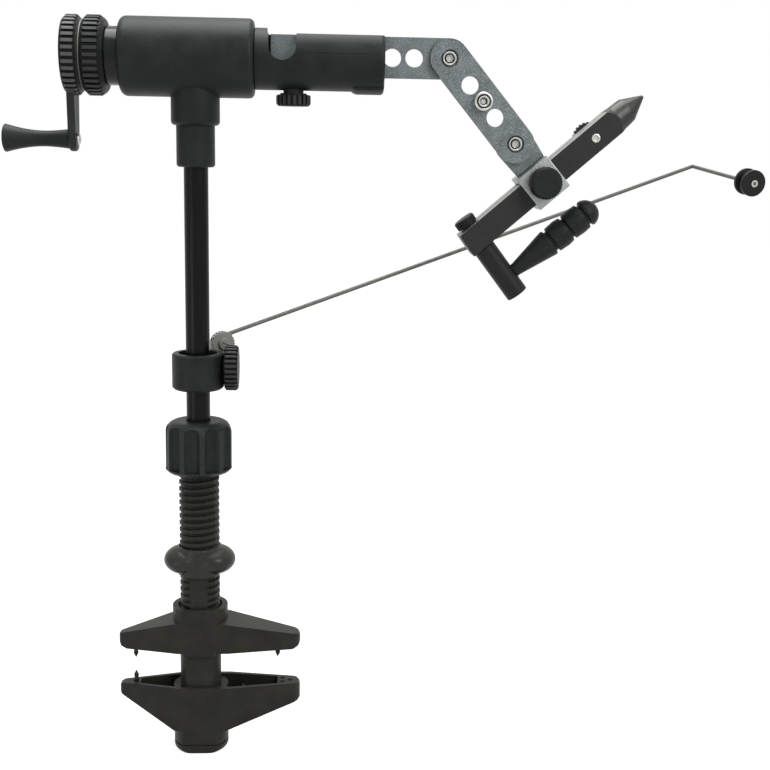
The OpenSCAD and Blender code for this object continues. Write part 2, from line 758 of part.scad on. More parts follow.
module offset_plate() color(steel) translate([pivot_x, 0, plate_z]) difference() {
  round_plate(plate_x0 - pivot_x, plate_w, -plate_t/2, plate_t/2);
  for (x = plate_holes_x) translate([x - pivot_x, 0, 0]) rod_y(hole_r, -plate_t, plate_t);
  rod_y(pin_r + fit, -plate_t, plate_t);
}

module in_link() translate([pivot_x, 0, plate_z]) rotate([0, link_fall, 0]) children();

module link() color(steel) in_link() difference() {
  translate([0, link_y1, 0]) rotate([90, 0, 0]) linear_extrude(plate_t) union() {
    for (x = [0, link_len]) translate([x, 0]) circle(r = link_end_r);
    translate([0, -link_end_r]) square([link_len, link_end_r*2]);
  }
  for (x = [link_hole_in, link_len - link_hole_in]) translate([x, 0, 0]) rod_y(hole_r, link_y0 - over, link_y1 + over);
  for (x = [0, link_len]) translate([x, 0, 0]) {
    rod_y(pin_r, link_y0 - over, link_y1 + over);
    rod_y(pin_ring_r, link_y0 - over, link_y0 + pin_head_h);
  }
  translate([link_len/2, 0, 0]) rod_y(screw_r, link_y0 - over, link_y1 + over);
}

// Pivot screws, with hollow hexagons, flush in the link
module link_screws() color(bright) in_link() for (x = [0, link_len]) translate([x, 0, 0]) difference() {
  union() {
    rod_y(pin_head_r, link_y0, link_y0 + pin_head_h - turn_gap);
    rod_y(pin_r, link_y0 + pin_head_h - turn_gap*2, plate_t/2);
  }
  rod_y(hex_r, link_y0 - over, link_y0 + pin_head_h*0.8, $fn = 6);
}

module link_cap_screw() color(bright) in_link() translate([link_len/2, 0, 0]) difference() {
  union() {
    rod_y(cap_screw_r, link_y0 - cap_screw_h, link_y0);
    rod_y(screw_r, link_y0 - edge, link_y1);
  }
  rod_y(cap_screw_r*0.55, link_y0 - cap_screw_h - over, link_y0 - cap_screw_h*0.75);
  rod_y(hex_r, link_y0 - cap_screw_h - over, link_y0 - cap_screw_h*0.3, $fn = 6);
}

// Frame at the middle of the clamp block, X along the jaws, Z across them
module in_jaw() translate([second_x, 0, second_z]) rotate([0, -jaw_rise, 0])
  translate([-tongue_shift, 0, -tongue_drop]) children();
module in_bar() in_jaw() translate([screw_reach, 0, 0]) children();
module in_cam() in_bar() translate([-cam_reach, 0, 0]) rotate([0, cam_lean, 0]) children();

module jaw_bracket() color(steel) in_jaw() difference() {
  translate([0, plate_t/2, 0]) rotate([90, 0, 0]) linear_extrude(plate_t) union() {
    translate([bracket_x, tongue_drop]) circle(r = bracket_r);
    polygon([[bracket_x - bracket_r, tongue_drop], [-block_w*0.38, block_w/2], [block_w/2, block_w/2],
      [bracket_x + bracket_r, tongue_drop]]);
  }
  translate([tongue_shift, 0, tongue_drop]) rod_y(pin_r + fit, -plate_t, plate_t);
}

module clamp_block() color(bright) in_jaw() difference() {
  translate([-block_w/2, -block_y, -block_w/2]) cube([block_w, block_y*2, block_w]);
  translate([-block_w, -bar_depth/2 - window_gap, -bar_h/2 - window_gap])
    cube([block_w*2, bar_depth + window_gap*2, bar_h + window_gap*2]);
  rod_y(knob_stud_r + fit, -block_y - over, 0);
}

module block_knob() color(black_plastic) in_jaw() {
  translate([0, -block_y - knob_gap, 0]) rotate([90, 0, 0])
    ribbed_disc(block_knob_r, knob_h, knob_ribs, knob_rib_h, edge*0.6, edge*1.3);
  rod_y(knob_stud_r, -block_y - knob_gap - edge, -bar_depth/2 - turn_gap);
}

// Both jaws as one bar: flat sides, turned tip
module bar_form() {
  tip = tip_reach;
  intersection() {
    translate([-bar_rear, -bar_depth/2, -bar_h/2]) cube([bar_rear + tip, bar_depth, bar_h]);
    turned_x([[-bar_rear - over, 0], [-bar_rear - over, bar_h], [tip - face_in, bar_h], [tip - face_in, bar_h*0.78],
      [tip - step_in, bar_h*0.6], [tip - shoulder_in, bar_h*0.5], [tip - edge/2, edge*1.3], [tip, edge], [tip, 0]]);
    translate([0, bar_depth/2, 0]) rotate([90, 0, 0]) linear_extrude(bar_depth) polygon([
      [-bar_rear + bar_h*tan(cam_lean), bar_h/2], [-bar_rear - over/4, -bar_h/2], [tip, -bar_h/2], [tip, bar_h/2]]);
  }
}

module cam_bore() in_cam_local() rod_z(cam_bore_r, -bar_h, bar_h);
module in_cam_local() translate([-cam_reach, 0, 0]) rotate([0, cam_lean, 0]) children();

module front_jaw() color(black_steel) in_bar() difference() {
  bar_form();
  translate([-bar_rear*2, -split/2, -bar_h]) cube([bar_rear*4, bar_depth, bar_h*2]);
  translate([-bar_rear*2, -relief/2, -bar_h]) cube([bar_rear*2 + relief_from, bar_depth, bar_h*2]);
  rod_y(adjust_r, -bar_depth, bar_depth);
  rod_y(adjust_head_r, -bar_depth, -bar_depth/2 + edge*2);
  cam_bore();
}

module back_jaw() color(black_steel) in_bar() difference() {
  bar_form();
  translate([-bar_rear*2, split/2 - bar_depth, -bar_h]) cube([bar_rear*4, bar_depth, bar_h*2]);
  translate([-bar_rear*2, relief/2 - bar_depth, -bar_h]) cube([bar_rear*2 + relief_from, bar_depth, bar_h*2]);
  rod_y(adjust_r + loose, -bar_depth, bar_depth);
  cam_bore();
}

module adjusting_screw() color(bright) in_bar() difference() {
  union() {
    rod_y(adjust_head_r, -bar_depth/2 - turn_gap, -bar_depth/2 + edge*2);
    rod_y(adjust_r, -bar_depth/2 + edge, bar_depth/2 + wheel_gap + adjust_wheel_t + edge);
  }
  rod_y(adjust_head_r*0.45, -bar_depth, -bar_depth/2 + edge, $fn = 6);
}

module adjusting_wheel() color(black_plastic) in_bar() difference() {
  translate([0, bar_depth/2 + wheel_gap, 0]) rotate([-90, 0, 0])
    ribbed_disc(adjust_wheel_r, adjust_wheel_t, adjust_ribs, adjust_rib_h, edge*0.6, edge*0.6);
  rod_y(adjust_r + fit, 0, bar_depth);
}

module cam_shaft() color(black_steel) in_cam() difference() {
  union() {
    rod_z(cam_core_r, -bar_h/2 - edge, cam_knob_z + cam_knob_h*0.6);
    intersection() {
      translate([0, cam_lobe, 0]) rod_z(cam_core_r, -bar_h*0.3, bar_h*0.3);
      rod_z(cam_core_r + cam_lobe, -bar_h, bar_h);
    }
    translate([0, 0, cam_low]) cylinder(r = cam_r, h = -cam_low - bar_h/2 - face_gap - cam_r*tan(cam_lean));
  }
  translate([0, 0, lever_z]) rotate([0, -lever_tilt, 0]) {
    rod_x(lever_root_r*0.7, cam_r*0.2, cam_r*2);
    rod_x(lever_root_r, cam_r*0.9, cam_r*2);
  }
}

module cam_knob() color(black_plastic) in_cam() difference() {
  translate([0, 0, cam_knob_z]) ribbed_disc(cam_knob_r, cam_knob_h, cam_knob_ribs, cam_rib_h, edge*0.6, edge);
  rod_z(cam_core_r, 0, cam_knob_z + cam_knob_h*0.6);
}

module lever_handle() color(black_plastic) in_cam() translate([0, 0, lever_z]) rotate([0, -lever_tilt, 0]) {
  cone = lever_len*0.495;
  dome = lever_len - lever_dome_r;
  ring = (dome - cone - lever_groove*3)/2;
  ring1 = cone + lever_groove;
  ring2 = ring1 + ring + lever_groove;
  turned_x(concat(
    [[cam_r*0.2, 0], [cam_r*0.2, lever_root_r*0.7], [cam_r*0.9, lever_root_r*0.7], [cam_r*0.9, lever_root_r],
      [cam_r*1.2, lever_root_r], [cone - edge, lever_cone_r], [cone, lever_cone_r - edge], [cone, lever_groove_r]],
    [[ring1, lever_groove_r], [ring1, lever_ring_r], [ring1 + ring*0.6, lever_ring_r + edge*0.6],
      [ring1 + ring, lever_ring_r], [ring1 + ring, lever_groove_r]],
    [[ring2, lever_groove_r], [ring2, lever_ring_r], [ring2 + ring*0.6, lever_ring_r + edge*0.4],
      [ring2 + ring, lever_ring_r], [ring2 + ring, lever_groove_r]],
    [[dome, lever_groove_r], [dome, lever_dome_r - edge*0.7]],
    [for (p = arc(lever_dome_r, 80, 0, 10)) [dome + p[0], p[1]]]));
}

module cradle_liner() color(grey_plastic) difference() {
  ring_z(liner_r - fit, post_d/2 + fit, cradle_z + edge*2, cradle_z + edge*2 + liner_h);
  translate([-liner_r*2, -collet_slit/2, cradle_z]) cube([liner_r*2, collet_slit, collar_h]);
}

module in_arm() rotate([0, 0, wire_splay]) translate([tilt_x, 0, tilt_z]) children();

module cradle_collar() color(black_plastic) difference() {
  union() {
    translate([0, 0, cradle_z]) rotate_extrude() polygon([[0, 0], [collar_r - edge*1.5, 0], [collar_r, edge*1.5],
      [collar_r, collar_h - edge], [collar_r - edge, collar_h], [0, collar_h]]);
    in_arm() {
      rod_y(axle_r*2.6, ear_y0, ear_y1);
      translate([-axle_r*2.6, ear_y0, cradle_z - tilt_z]) cube([axle_r*5.2, ear_y1 - ear_y0, tilt_z - cradle_z]);
      translate([-tilt_x*0.7, collar_r*lug_share, cradle_z - tilt_z])
        cube([tilt_x*0.7 + axle_r*2.6, ear_y1 - collar_r*lug_share, collar_h - recess_h*2]);
    }
  }
  rod_z(post_d/2 + loose, cradle_z - over, cradle_z + collar_h + over);
  rod_z(liner_r, cradle_z + edge*2, cradle_z + collar_h + over);
  rod_z(recess_r, cradle_z + edge*2 + liner_h + turn_gap, cradle_z + collar_h + over);
  translate([0, 0, knob_z]) rod_x(screw_r + fit, 0, collar_r*2);
  in_arm() rod_y(axle_r, ear_y0 - over, ear_y1 + over);
}

module cradle_knob() color(black_plastic) translate([0, 0, knob_z]) {
  translate([knob_x0, 0, 0]) rotate([0, 90, 0])
    ribbed_disc(collar_knob_r, knob_w, collar_knob_ribs, collar_rib_h, edge*1.3, edge*1.5);
  rod_x(screw_r, liner_r + turn_gap, knob_x0 + edge);
}

module arm_axle() color(steel) in_arm() {
  rod_y(axle_r, holder_y0 - edge, ear_y1);
  rod_y(axle_r*1.6, holder_y0 - axle_r, holder_y0 - turn_gap);
}

module in_wire() in_arm() rotate([0, -wire_rise, 0]) translate([0, wire_y, wire_lift]) children();

module arm_holder() color(grey_plastic) difference() {
  in_arm() difference() {
    translate([0, holder_y0, 0]) rotate([-90, 0, 0])
      ribbed_disc(holder_r, holder_y1 - holder_y0, holder_ribs, holder_rib_h, edge/2, edge/2);
    rod_y(axle_r + fit, holder_y0 - over, holder_y1 + over);
  }
  in_wire() rod_x(wire_d/2, -holder_r*2, holder_r*2);
}

// Steel wire: long run, bend towards the viewer and straight axle for the wheel
module cradle_wire() color(steel) in_wire() {
  rod_x(wire_d/2, -wire_back, wire_len);
  translate([wire_len, 0, 0]) sphere(r = wire_d/2);
  in_reach() rod_x(wire_d/2, 0, reach_len);
}
module in_reach() translate([wire_len, 0, 0]) rotate([0, wire_rise, 0])
  rotate([0, 0, -reach_turn]) rotate([0, reach_dip, 0]) children();

// Retaining washers on both sides of the wheel
module wheel_washers() color(steel) in_wire() in_reach() difference() {
  for (x = [reach_len - wheel_w - edge*2.5, reach_len - edge]) rod_x(wire_d*0.9, x, x + edge);
  rod_x(wire_d/2, 0, reach_len*2);
}

module cradle_wheel() color(black_plastic) in_wire() in_reach() {
  x0 = reach_len - wheel_w - edge - turn_gap;
  x1 = reach_len - edge - turn_gap;
  difference() {
    turned_x([[x0, 0], [x0, wheel_r - edge/2], [x0 + edge/2, wheel_r], [x0 + flange_w, wheel_r],
      [x0 + flange_w + edge, wheel_hub_r], [x1 - flange_w - edge, wheel_hub_r], [x1 - flange_w, wheel_r],
      [x1 - edge/2, wheel_r], [x1, wheel_r - edge/2], [x1, 0]]);
    rod_x(wire_d/2 + fit, 0, reach_len*2);
  }
}

clamp_tube();
lower_jaw();
end_cap();
lower_spike();
upper_jaw();
upper_spikes();
wing_nut();
collet();
collet_nut();
post_foot();
post();
barrel();
neck_bush();
front_bush();
barrel_screw();
spindle();
crank();
friction_washer();
drag_nut();
handle_screw();
crank_handle();
head_tube();
head_thumbscrew();
offset_plate();
link();
link_screws();
link_cap_screw();
jaw_bracket();
clamp_block();
block_knob();
front_jaw();
back_jaw();
adjusting_screw();
adjusting_wheel();
cam_shaft();
cam_knob();
lever_handle();
cradle_liner();
cradle_collar();
cradle_knob();
arm_axle();
arm_holder();
cradle_wire();
wheel_washers();
cradle_wheel();
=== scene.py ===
# %% [markdown]
# A rotary fly tying vise, dressed for a product photo
#
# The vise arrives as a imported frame: every moulding, plate, screw and knob is already a solid of the
# right size, in metres, with Z up and the spindle along X. This lesson gives those solids rounded edges
# and their real finishes, models the small pieces that a maker would add by hand, and lights it softly.

# %% Load the frame
import json
import math

import bmesh
import bpy
from mathutils import Matrix, Vector

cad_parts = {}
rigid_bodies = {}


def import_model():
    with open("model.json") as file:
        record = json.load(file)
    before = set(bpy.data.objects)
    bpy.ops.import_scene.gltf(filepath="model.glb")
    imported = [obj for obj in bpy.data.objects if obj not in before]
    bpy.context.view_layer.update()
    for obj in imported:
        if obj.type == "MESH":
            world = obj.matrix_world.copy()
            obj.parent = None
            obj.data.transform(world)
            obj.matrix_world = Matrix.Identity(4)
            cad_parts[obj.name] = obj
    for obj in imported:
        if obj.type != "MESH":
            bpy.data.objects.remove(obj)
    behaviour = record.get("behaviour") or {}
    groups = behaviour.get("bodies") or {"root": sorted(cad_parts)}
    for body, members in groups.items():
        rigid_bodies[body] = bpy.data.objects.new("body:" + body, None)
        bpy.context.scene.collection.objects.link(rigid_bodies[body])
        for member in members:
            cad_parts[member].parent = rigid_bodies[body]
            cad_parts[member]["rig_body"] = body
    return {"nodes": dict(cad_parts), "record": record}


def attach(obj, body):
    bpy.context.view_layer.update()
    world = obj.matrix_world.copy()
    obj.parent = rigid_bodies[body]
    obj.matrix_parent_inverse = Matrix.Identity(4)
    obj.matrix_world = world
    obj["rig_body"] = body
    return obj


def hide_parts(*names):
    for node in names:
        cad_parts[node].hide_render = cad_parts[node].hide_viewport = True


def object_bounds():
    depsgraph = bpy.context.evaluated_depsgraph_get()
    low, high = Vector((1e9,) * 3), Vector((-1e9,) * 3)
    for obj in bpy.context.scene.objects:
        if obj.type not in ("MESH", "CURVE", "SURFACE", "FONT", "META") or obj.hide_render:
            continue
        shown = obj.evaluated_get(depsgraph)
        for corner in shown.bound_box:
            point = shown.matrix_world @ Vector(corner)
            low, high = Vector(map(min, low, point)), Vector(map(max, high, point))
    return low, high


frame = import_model()
cad_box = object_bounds()
nodes = frame["nodes"]
body_of_node = {name: solid["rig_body"] for name, solid in nodes.items()}
slot_of_node = {row["node"]: row["material_slot"] for row in frame["record"]["subparts"]}
bpy.ops.object.select_all(action="DESELECT")
bpy.context.scene.view_settings.view_transform = "Standard"
MM = 0.001

# %% [markdown]
# The camera stands where the photographer stood, a little to the right of the post, half a metre back
# and slightly above the head, looking down by about eleven degrees. A camera looks along its own -Z, so
# its axes are built from the viewing direction and then rolled by one degree.

# %% Camera
LENS_MM = 58.44
CAMERA_PLACE = Vector((0.048598, -0.522878, 0.233660))
LOOK_YAW = math.radians(3.345)
LOOK_DOWN = math.radians(10.81)
LOOK_ROLL = math.radians(1.05)


def camera_axes(yaw, down, roll):
    """Right, up and back of a camera that looks along +Y, turned by yaw, down and roll."""
    ahead = Vector((math.sin(yaw) * math.cos(down), math.cos(yaw) * math.cos(down), -math.sin(down)))
    right = Vector((math.cos(yaw), -math.sin(yaw), 0))
    below = ahead.cross(right)
    rolled_right = right * math.cos(roll) - below * math.sin(roll)
    rolled_below = right * math.sin(roll) + below * math.cos(roll)
    return rolled_right, -rolled_below, -ahead


camera_data = bpy.data.cameras.new("camera")
camera_data.lens = LENS_MM
camera = bpy.data.objects.new("camera", camera_data)
bpy.context.scene.collection.objects.link(camera)
axes = camera_axes(LOOK_YAW, LOOK_DOWN, LOOK_ROLL)
camera.matrix_world = Matrix.Translation(CAMERA_PLACE) @ Matrix(axes).transposed().to_4x4()
bpy.context.scene.camera = camera
print("camera at", [round(v, 3) for v in CAMERA_PLACE])

# %% [markdown]
# Two helpers serve the light and every finish. Colours are written as sRGB hex values, as an artist picks
# them, and the shader wants linear light, so one function converts them. The other adds a node, sets its
# values and links its inputs in one line, so that a material reads like a recipe.


# %% Colour and node helpers
def linear(hex_colour):
    """An sRGB hex colour as linear RGBA."""
    channels = [int(hex_colour[i : i + 2], 16) / 255 for i in (1, 3, 5)]
    light = [c / 12.92 if c <= 0.04045 else ((c + 0.055) / 1.055) ** 2.4 for c in channels]
    return (*light, 1.0)


def add(tree, kind, settings=None, **inputs):
    """Adds a node. settings are its properties; inputs are values, hex colours or outputs to link.

    An input goes by its name, with _ for a space, or by its number, such as i6.
    """
    node = tree.nodes.new(kind)
    for key, value in (settings or {}).items():
        setattr(node, key, value)
    for key, value in inputs.items():
        by_number = key[0] == "i" and key[1:].isdigit()
        socket = node.inputs[int(key[1:])] if by_number else node.inputs[key.replace("_", " ")]
        if isinstance(value, bpy.types.NodeSocket):
            tree.links.new(value, socket)
        elif isinstance(value, str):
            socket.default_value = linear(value)
        else:
            socket.default_value = value
    return node


print("mid grey #808080 is", round(linear("#808080")[0], 3), "in linear light")

# %% [markdown]
# Studio. A black tool is shot against a white sweep that is lit from above and behind, while the room on
# the camera's side stays dim: the tops and rims catch the sweep, and the faces towards the camera stay
# deep. The world does the same. It grows from dim on the camera's side to bright behind and above. The
# camera, and what metal or glass mirrors, always see pure white.

# %% World
WHITE = (1.0, 1.0, 1.0, 1.0)
DIM_SIDE = 0.24
BRIGHT_SIDE = 0.9
SWEEP_DIRECTION = (0.0, 0.80, 0.60)
FADE_FROM = -0.25
FADE_TO = 0.75


def background_rays(tree):
    """1 for the rays that should see the white background: the camera's, mirrored and clear ones."""
    path = add(tree, "ShaderNodeLightPath")
    mirrored = add(tree, "ShaderNodeMath", {"operation": "MAXIMUM"}, i0=path.outputs["Is Glossy Ray"],
                   i1=path.outputs["Is Transmission Ray"])
    return add(tree, "ShaderNodeMath", {"operation": "MAXIMUM"}, i0=path.outputs["Is Camera Ray"],
               i1=mirrored.outputs[0]).outputs[0]


world = bpy.data.worlds.new("studio")
bpy.context.scene.world = world
world.use_nodes = True
sky = world.node_tree
sky.nodes.clear()
direction = add(sky, "ShaderNodeTexCoord").outputs["Generated"]
towards_sweep = add(sky, "ShaderNodeVectorMath", {"operation": "DOT_PRODUCT"}, i0=direction,
                    i1=SWEEP_DIRECTION).outputs["Value"]
share = add(sky, "ShaderNodeMapRange", {"interpolation_type": "SMOOTHSTEP"}, Value=towards_sweep,
            From_Min=FADE_FROM, From_Max=FADE_TO, To_Min=DIM_SIDE, To_Max=BRIGHT_SIDE).outputs[0]
room = add(sky, "ShaderNodeBackground", Color=WHITE, Strength=share)
white = add(sky, "ShaderNodeBackground", Color=WHITE, Strength=1.0)
both = add(sky, "ShaderNodeMixShader", i0=background_rays(sky), i1=room.outputs[0], i2=white.outputs[0])
add(sky, "ShaderNodeOutputWorld", Surface=both.outputs[0])
print("world from", DIM_SIDE, "to", BRIGHT_SIDE)

# %% [markdown]
# The floor is a pale paper that bounces little light back up, so that the undersides stay deep, as they do
# when a tool hangs well in front of its sweep. It takes the soft contact shadow, and a lift for the
# background rays brings it up to the white of the sweep, so that no horizon line shows.

# %% Floor
FLOOR_SIZE = 6.0
PAPER_GREY = "#8e8e8c"
LIFT_TO_WHITE = 0.88
floor_height = cad_box[0][2]
bpy.ops.mesh.primitive_plane_add(size=FLOOR_SIZE, location=(0, 0, floor_height))
floor = bpy.context.object
floor.name = "floor"
floor_material = bpy.data.materials.new("white_paper_sweep")
floor_material.use_nodes = True
tree = floor_material.node_tree
tree.nodes.clear()
paper = add(tree, "ShaderNodeBsdfDiffuse", Color=PAPER_GREY)
lift = add(tree, "ShaderNodeEmission", Color=WHITE, Strength=LIFT_TO_WHITE)
lifted = add(tree, "ShaderNodeAddShader", i0=paper.outputs[0], i1=lift.outputs[0])
shown = add(tree, "ShaderNodeMixShader", i0=background_rays(tree), i1=paper.outputs[0], i2=lifted.outputs[0])
add(tree, "ShaderNodeOutputMaterial", Surface=shown.outputs[0])
floor.data.materials.append(floor_material)
print("floor at", round(floor_height, 4))

# %% [markdown]
# Three soft boxes finish the light. A large one overhead, a little behind the vise, draws a bright band
# along every top. A smaller one high on the right keeps the steel faces light and throws the shadows of
# the link and its screws to the lower left. A weak low one on the left lifts the clamp's left arms.

# %% Lights
MIDDLE = (0.07, 0.0, 0.14)
CLAMP_MIDDLE = (-0.02, 0.0, 0.01)


def soft_box(name, place, aim, size, power):
    """A square area lamp at place that faces aim."""
    lamp = bpy.data.lights.new(name, "AREA")
    lamp.size = size
    lamp.energy = power
    box = bpy.data.objects.new(name, lamp)
    bpy.context.scene.collection.objects.link(box)
    box.location = place
    box.rotation_euler = (Vector(aim) - Vector(place)).to_track_quat("-Z", "Y").to_euler()


soft_box("top_box", (0.0, 0.10, 1.05), MIDDLE, 0.7, 13.0)
soft_box("right_box", (0.60, -0.80, 0.75), MIDDLE, 0.42, 6.0)
soft_box("low_left_box", (-0.45, -0.45, 0.06), CLAMP_MIDDLE, 0.2, 0.5)
print("lights:", [item.name for item in bpy.data.lights])

# %% [markdown]
# Every finish starts as an empty material and is built up in coats, as a painter would: a base colour, then
# a second one laid over it where a pattern is strong, and a gloss that changes with a pattern too. The
# patterns are noise whose patches have a real size in millimetres. They read Object coordinates, so they
# stay on a piece when it moves.


# %% Pattern helpers
def new_material(name):
    """An empty node material: itself, its tree, its shader and the place of a point on the piece."""
    material = bpy.data.materials.new(name)
    material.use_nodes = True
    tree = material.node_tree
    tree.nodes.clear()
    shader = tree.nodes.new("ShaderNodeBsdfPrincipled")
    output = tree.nodes.new("ShaderNodeOutputMaterial")
    tree.links.new(shader.outputs["BSDF"], output.inputs["Surface"])
    return material, tree, shader, add(tree, "ShaderNodeTexCoord").outputs["Object"]


def per_patch(size_mm):
    """The scale of a noise whose patches are about size_mm across."""
    return 1 / (size_mm * MM)


def coat(tree, colour, over, pattern, low, high, most=1.0):
    """Lays a second colour over a first: none of it where the pattern is low, most where it is high."""
    share = add(tree, "ShaderNodeMapRange", Value=pattern, From_Min=low, From_Max=high, To_Max=most)
    return add(tree, "ShaderNodeMix", {"data_type": "RGBA"}, Factor=share.outputs[0], i6=colour,
               i7=over).outputs[2]


def uneven_gloss(tree, shader, pattern, low, high, smooth, dull):
    """Lets the roughness follow a pattern, from smooth where it is low to dull where it is high."""
    rough = add(tree, "ShaderNodeMapRange", Value=pattern, From_Min=low, From_Max=high, To_Min=smooth,
                To_Max=dull)
    tree.links.new(rough.outputs[0], shader.inputs["Roughness"])


print("patches of 1 mm need a noise scale of", round(per_patch(1.0)))

# %% [markdown]
# Some marks belong to one place: painted shade lies in the valleys between a knob's ribs, and their tips are
# pale from wear and carry a painted highlight, so both are rings round the knob's axis. The column's thread
# is cut away on two flats, where no painted shade is laid. The distance from an axis or from the middle gives
# such masks, so no image is needed and nothing depends on the view.

# %% Masks
ALONG = (1.0, 0.0, 0.0)
ACROSS = (0.0, 1.0, 0.0)
UP = (0.0, 0.0, 1.0)
SAME_DEPTH_MM = 0.04


def ring_band(tree, place, ring, fade_mm=0.2):
    """1 where the distance from an axis lies in a band. ring is (point, axis, inner mm, outer mm)."""
    point, axis, inner, outer = ring
    offset = add(tree, "ShaderNodeVectorMath", {"operation": "SUBTRACT"}, i0=place,
                 i1=Vector(point) * MM).outputs[0]
    across = add(tree, "ShaderNodeVectorMath", {"operation": "CROSS_PRODUCT"}, i0=offset, i1=axis).outputs[0]
    reach = add(tree, "ShaderNodeVectorMath", {"operation": "LENGTH"}, i0=across).outputs["Value"]
    above = add(tree, "ShaderNodeMapRange", Value=reach, From_Min=(inner - fade_mm) * MM,
                From_Max=inner * MM).outputs[0]
    below = add(tree, "ShaderNodeMapRange", Value=reach, From_Min=outer * MM,
                From_Max=(outer + fade_mm) * MM, To_Min=1.0, To_Max=0.0).outputs[0]
    return add(tree, "ShaderNodeMath", {"operation": "MULTIPLY"}, i0=above, i1=below).outputs[0]


def across_part(tree, vector):
    """How far a vector reaches across the vise, to the front or to the back."""
    depth = add(tree, "ShaderNodeSeparateXYZ", Vector=vector).outputs["Y"]
    return add(tree, "ShaderNodeMath", {"operation": "ABSOLUTE"}, i0=depth).outputs[0]


def off_flats(tree, place, depth_mm):
    """0 on the two flats that lie depth_mm in front of and behind the middle, 1 elsewhere."""
    same = add(tree, "ShaderNodeMath", {"operation": "COMPARE"}, i0=across_part(tree, place),
               i1=depth_mm * MM, i2=SAME_DEPTH_MM * MM)
    return add(tree, "ShaderNodeMath", {"operation": "SUBTRACT"}, i0=1.0, i1=same.outputs[0]).outputs[0]


print("masks: rings round an axis, and flats across", ACROSS)

# %% [markdown]
# Moulded nylon. Most of the vise is glass-filled nylon: satin, nearly black, with the fine even grain of a
# spark-eroded mould. The real grain is near a tenth of a millimetre and would vanish between pixels, so it
# is drawn at 0.45 mm. Broader clouds are where the glass fibre lies nearer to the skin, and they change the
# gloss too. Handling leaves pale scuffs of about a millimetre.

# %% Moulded plastic
GRAIN_MM = 0.45
SCUFF_MM = 0.99
CLOUD_MM = 11.0
MOST_SCUFF = 0.3
NYLON_IOR = 1.53
# Painted shade: the colour laid into the valleys between ribs and threads.
GROOVE_SHADE = "#121312"


def moulded_plastic(name, dark, light, rough, gloss_level=0.11, grain_depth_mm=0.035, scuff="#565754",
                    grooves=None, ridges=None, worn_and_lit="#393c3b", flats_mm=None):
    """Satin moulded plastic: cloudy colour, mould grain, pale scuffs, painted shade in the grooves, and
    ridges pale from wear and a painted highlight.
    """
    material, tree, shader, place = new_material(name)
    patches = add(tree, "ShaderNodeTexNoise", Vector=place, Scale=per_patch(CLOUD_MM), Detail=3.0,
                  Roughness=0.55).outputs["Fac"]
    grain = add(tree, "ShaderNodeTexNoise", Vector=place, Scale=per_patch(GRAIN_MM), Detail=2.0,
                Roughness=0.55).outputs["Fac"]
    handling = add(tree, "ShaderNodeTexNoise", Vector=place, Scale=per_patch(SCUFF_MM), Detail=5.0,
                   Roughness=0.7).outputs["Fac"]
    colour = coat(tree, dark, light, patches, 0.35, 0.65)
    colour = coat(tree, colour, scuff, handling, 0.60, 0.74, MOST_SCUFF)
    # Painted shade: the groove valleys are darkened, except on the column's flats.
    if grooves:
        groove_shade_share = ring_band(tree, place, grooves)
        if flats_mm:
            groove_shade_share = add(tree, "ShaderNodeMath", {"operation": "MULTIPLY"}, i0=groove_shade_share,
                        i1=off_flats(tree, place, flats_mm)).outputs[0]
        colour = add(tree, "ShaderNodeMix", {"data_type": "RGBA"}, Factor=groove_shade_share, i6=colour,
                     i7=GROOVE_SHADE).outputs[2]
    # Wear and a painted highlight: the ridge tips are laid paler.
    if ridges:
        tip_wear_and_highlight = ring_band(tree, place, ridges, fade_mm=0.1)
        colour = add(tree, "ShaderNodeMix", {"data_type": "RGBA"}, Factor=tip_wear_and_highlight, i6=colour,
                     i7=worn_and_lit).outputs[2]
    tree.links.new(colour, shader.inputs["Base Color"])
    uneven_gloss(tree, shader, patches, 0.3, 0.7, rough - 0.05, rough + 0.05)
    bump = add(tree, "ShaderNodeBump", Strength=0.8, Distance=grain_depth_mm * MM, Height=grain)
    tree.links.new(bump.outputs[0], shader.inputs["Normal"])
    shader.inputs["IOR"].default_value = NYLON_IOR
    shader.inputs["Specular IOR Level"].default_value = gloss_level
    return material


# Glass-filled nylon: a cool near-black with soft highlights.
black_nylon = moulded_plastic("glass_filled_nylon", "#1e2120", "#282b2a", 0.46)
# The clamp's batch is a little browner and paler.
clamp_nylon = moulded_plastic("clamp_nylon", "#262521", "#302f2a", 0.44)
# Grey acetal is waxy and shines more than nylon.
grey_acetal = moulded_plastic("grey_acetal", "#62645d", "#6f7169", 0.42, gloss_level=0.3, scuff="#8b8c87")
# The cradle's holder is a paler grey acetal.
holder_acetal = moulded_plastic("holder_acetal", "#83857d", "#90928a", 0.42, gloss_level=0.3, scuff="#a6a7a1")
# Turned acetal has no mould grain, so it draws a tight bright line.
bush_acetal = moulded_plastic("turned_bush_acetal", "#151817", "#1c1f1e", 0.2, gloss_level=0.16,
                              grain_depth_mm=0.006)
# The wing nut is rubbed smooth by fingers and shines in broad soft spots.
wing_nylon = moulded_plastic("wing_nut_nylon", "#242320", "#302f2a", 0.32, gloss_level=0.18,
                             grain_depth_mm=0.015)
# The cradle's wheel is a smooth neutral black.
wheel_black = moulded_plastic("wheel_plastic", "#1d1e1e", "#262727", 0.36)
print("plain plastics ready")

# %% [markdown]
# Ribbed knobs and threads are the same nylon with painted shade in their valleys, and wear and a painted
# highlight on their tips. Each knob gives its axis, as a point in millimetres and a direction, and the radii
# between which the painted shade or the pale tips lie. Without these rings the ribs would melt into one dark
# disc at this distance.

# %% Ribbed and threaded plastics
SPINDLE = ((0.0, 0.0, 267.4), ALONG)
COLUMN = ((0.0, 0.0, 0.0), UP)
BLOCK_KNOB = ((142.41, 0.0, 220.06), ACROSS)
COLLAR_KNOB = ((0.0, 0.0, 140.6), ALONG)
THUMB = ((39.7, 0.0, 0.0), UP)
DISC_GROOVES = (*SPINDLE, 14.7, 15.2)
DISC_RIDGES = (*SPINDLE, 15.55, 16.0)
COLUMN_FLATS_MM = 6.8975
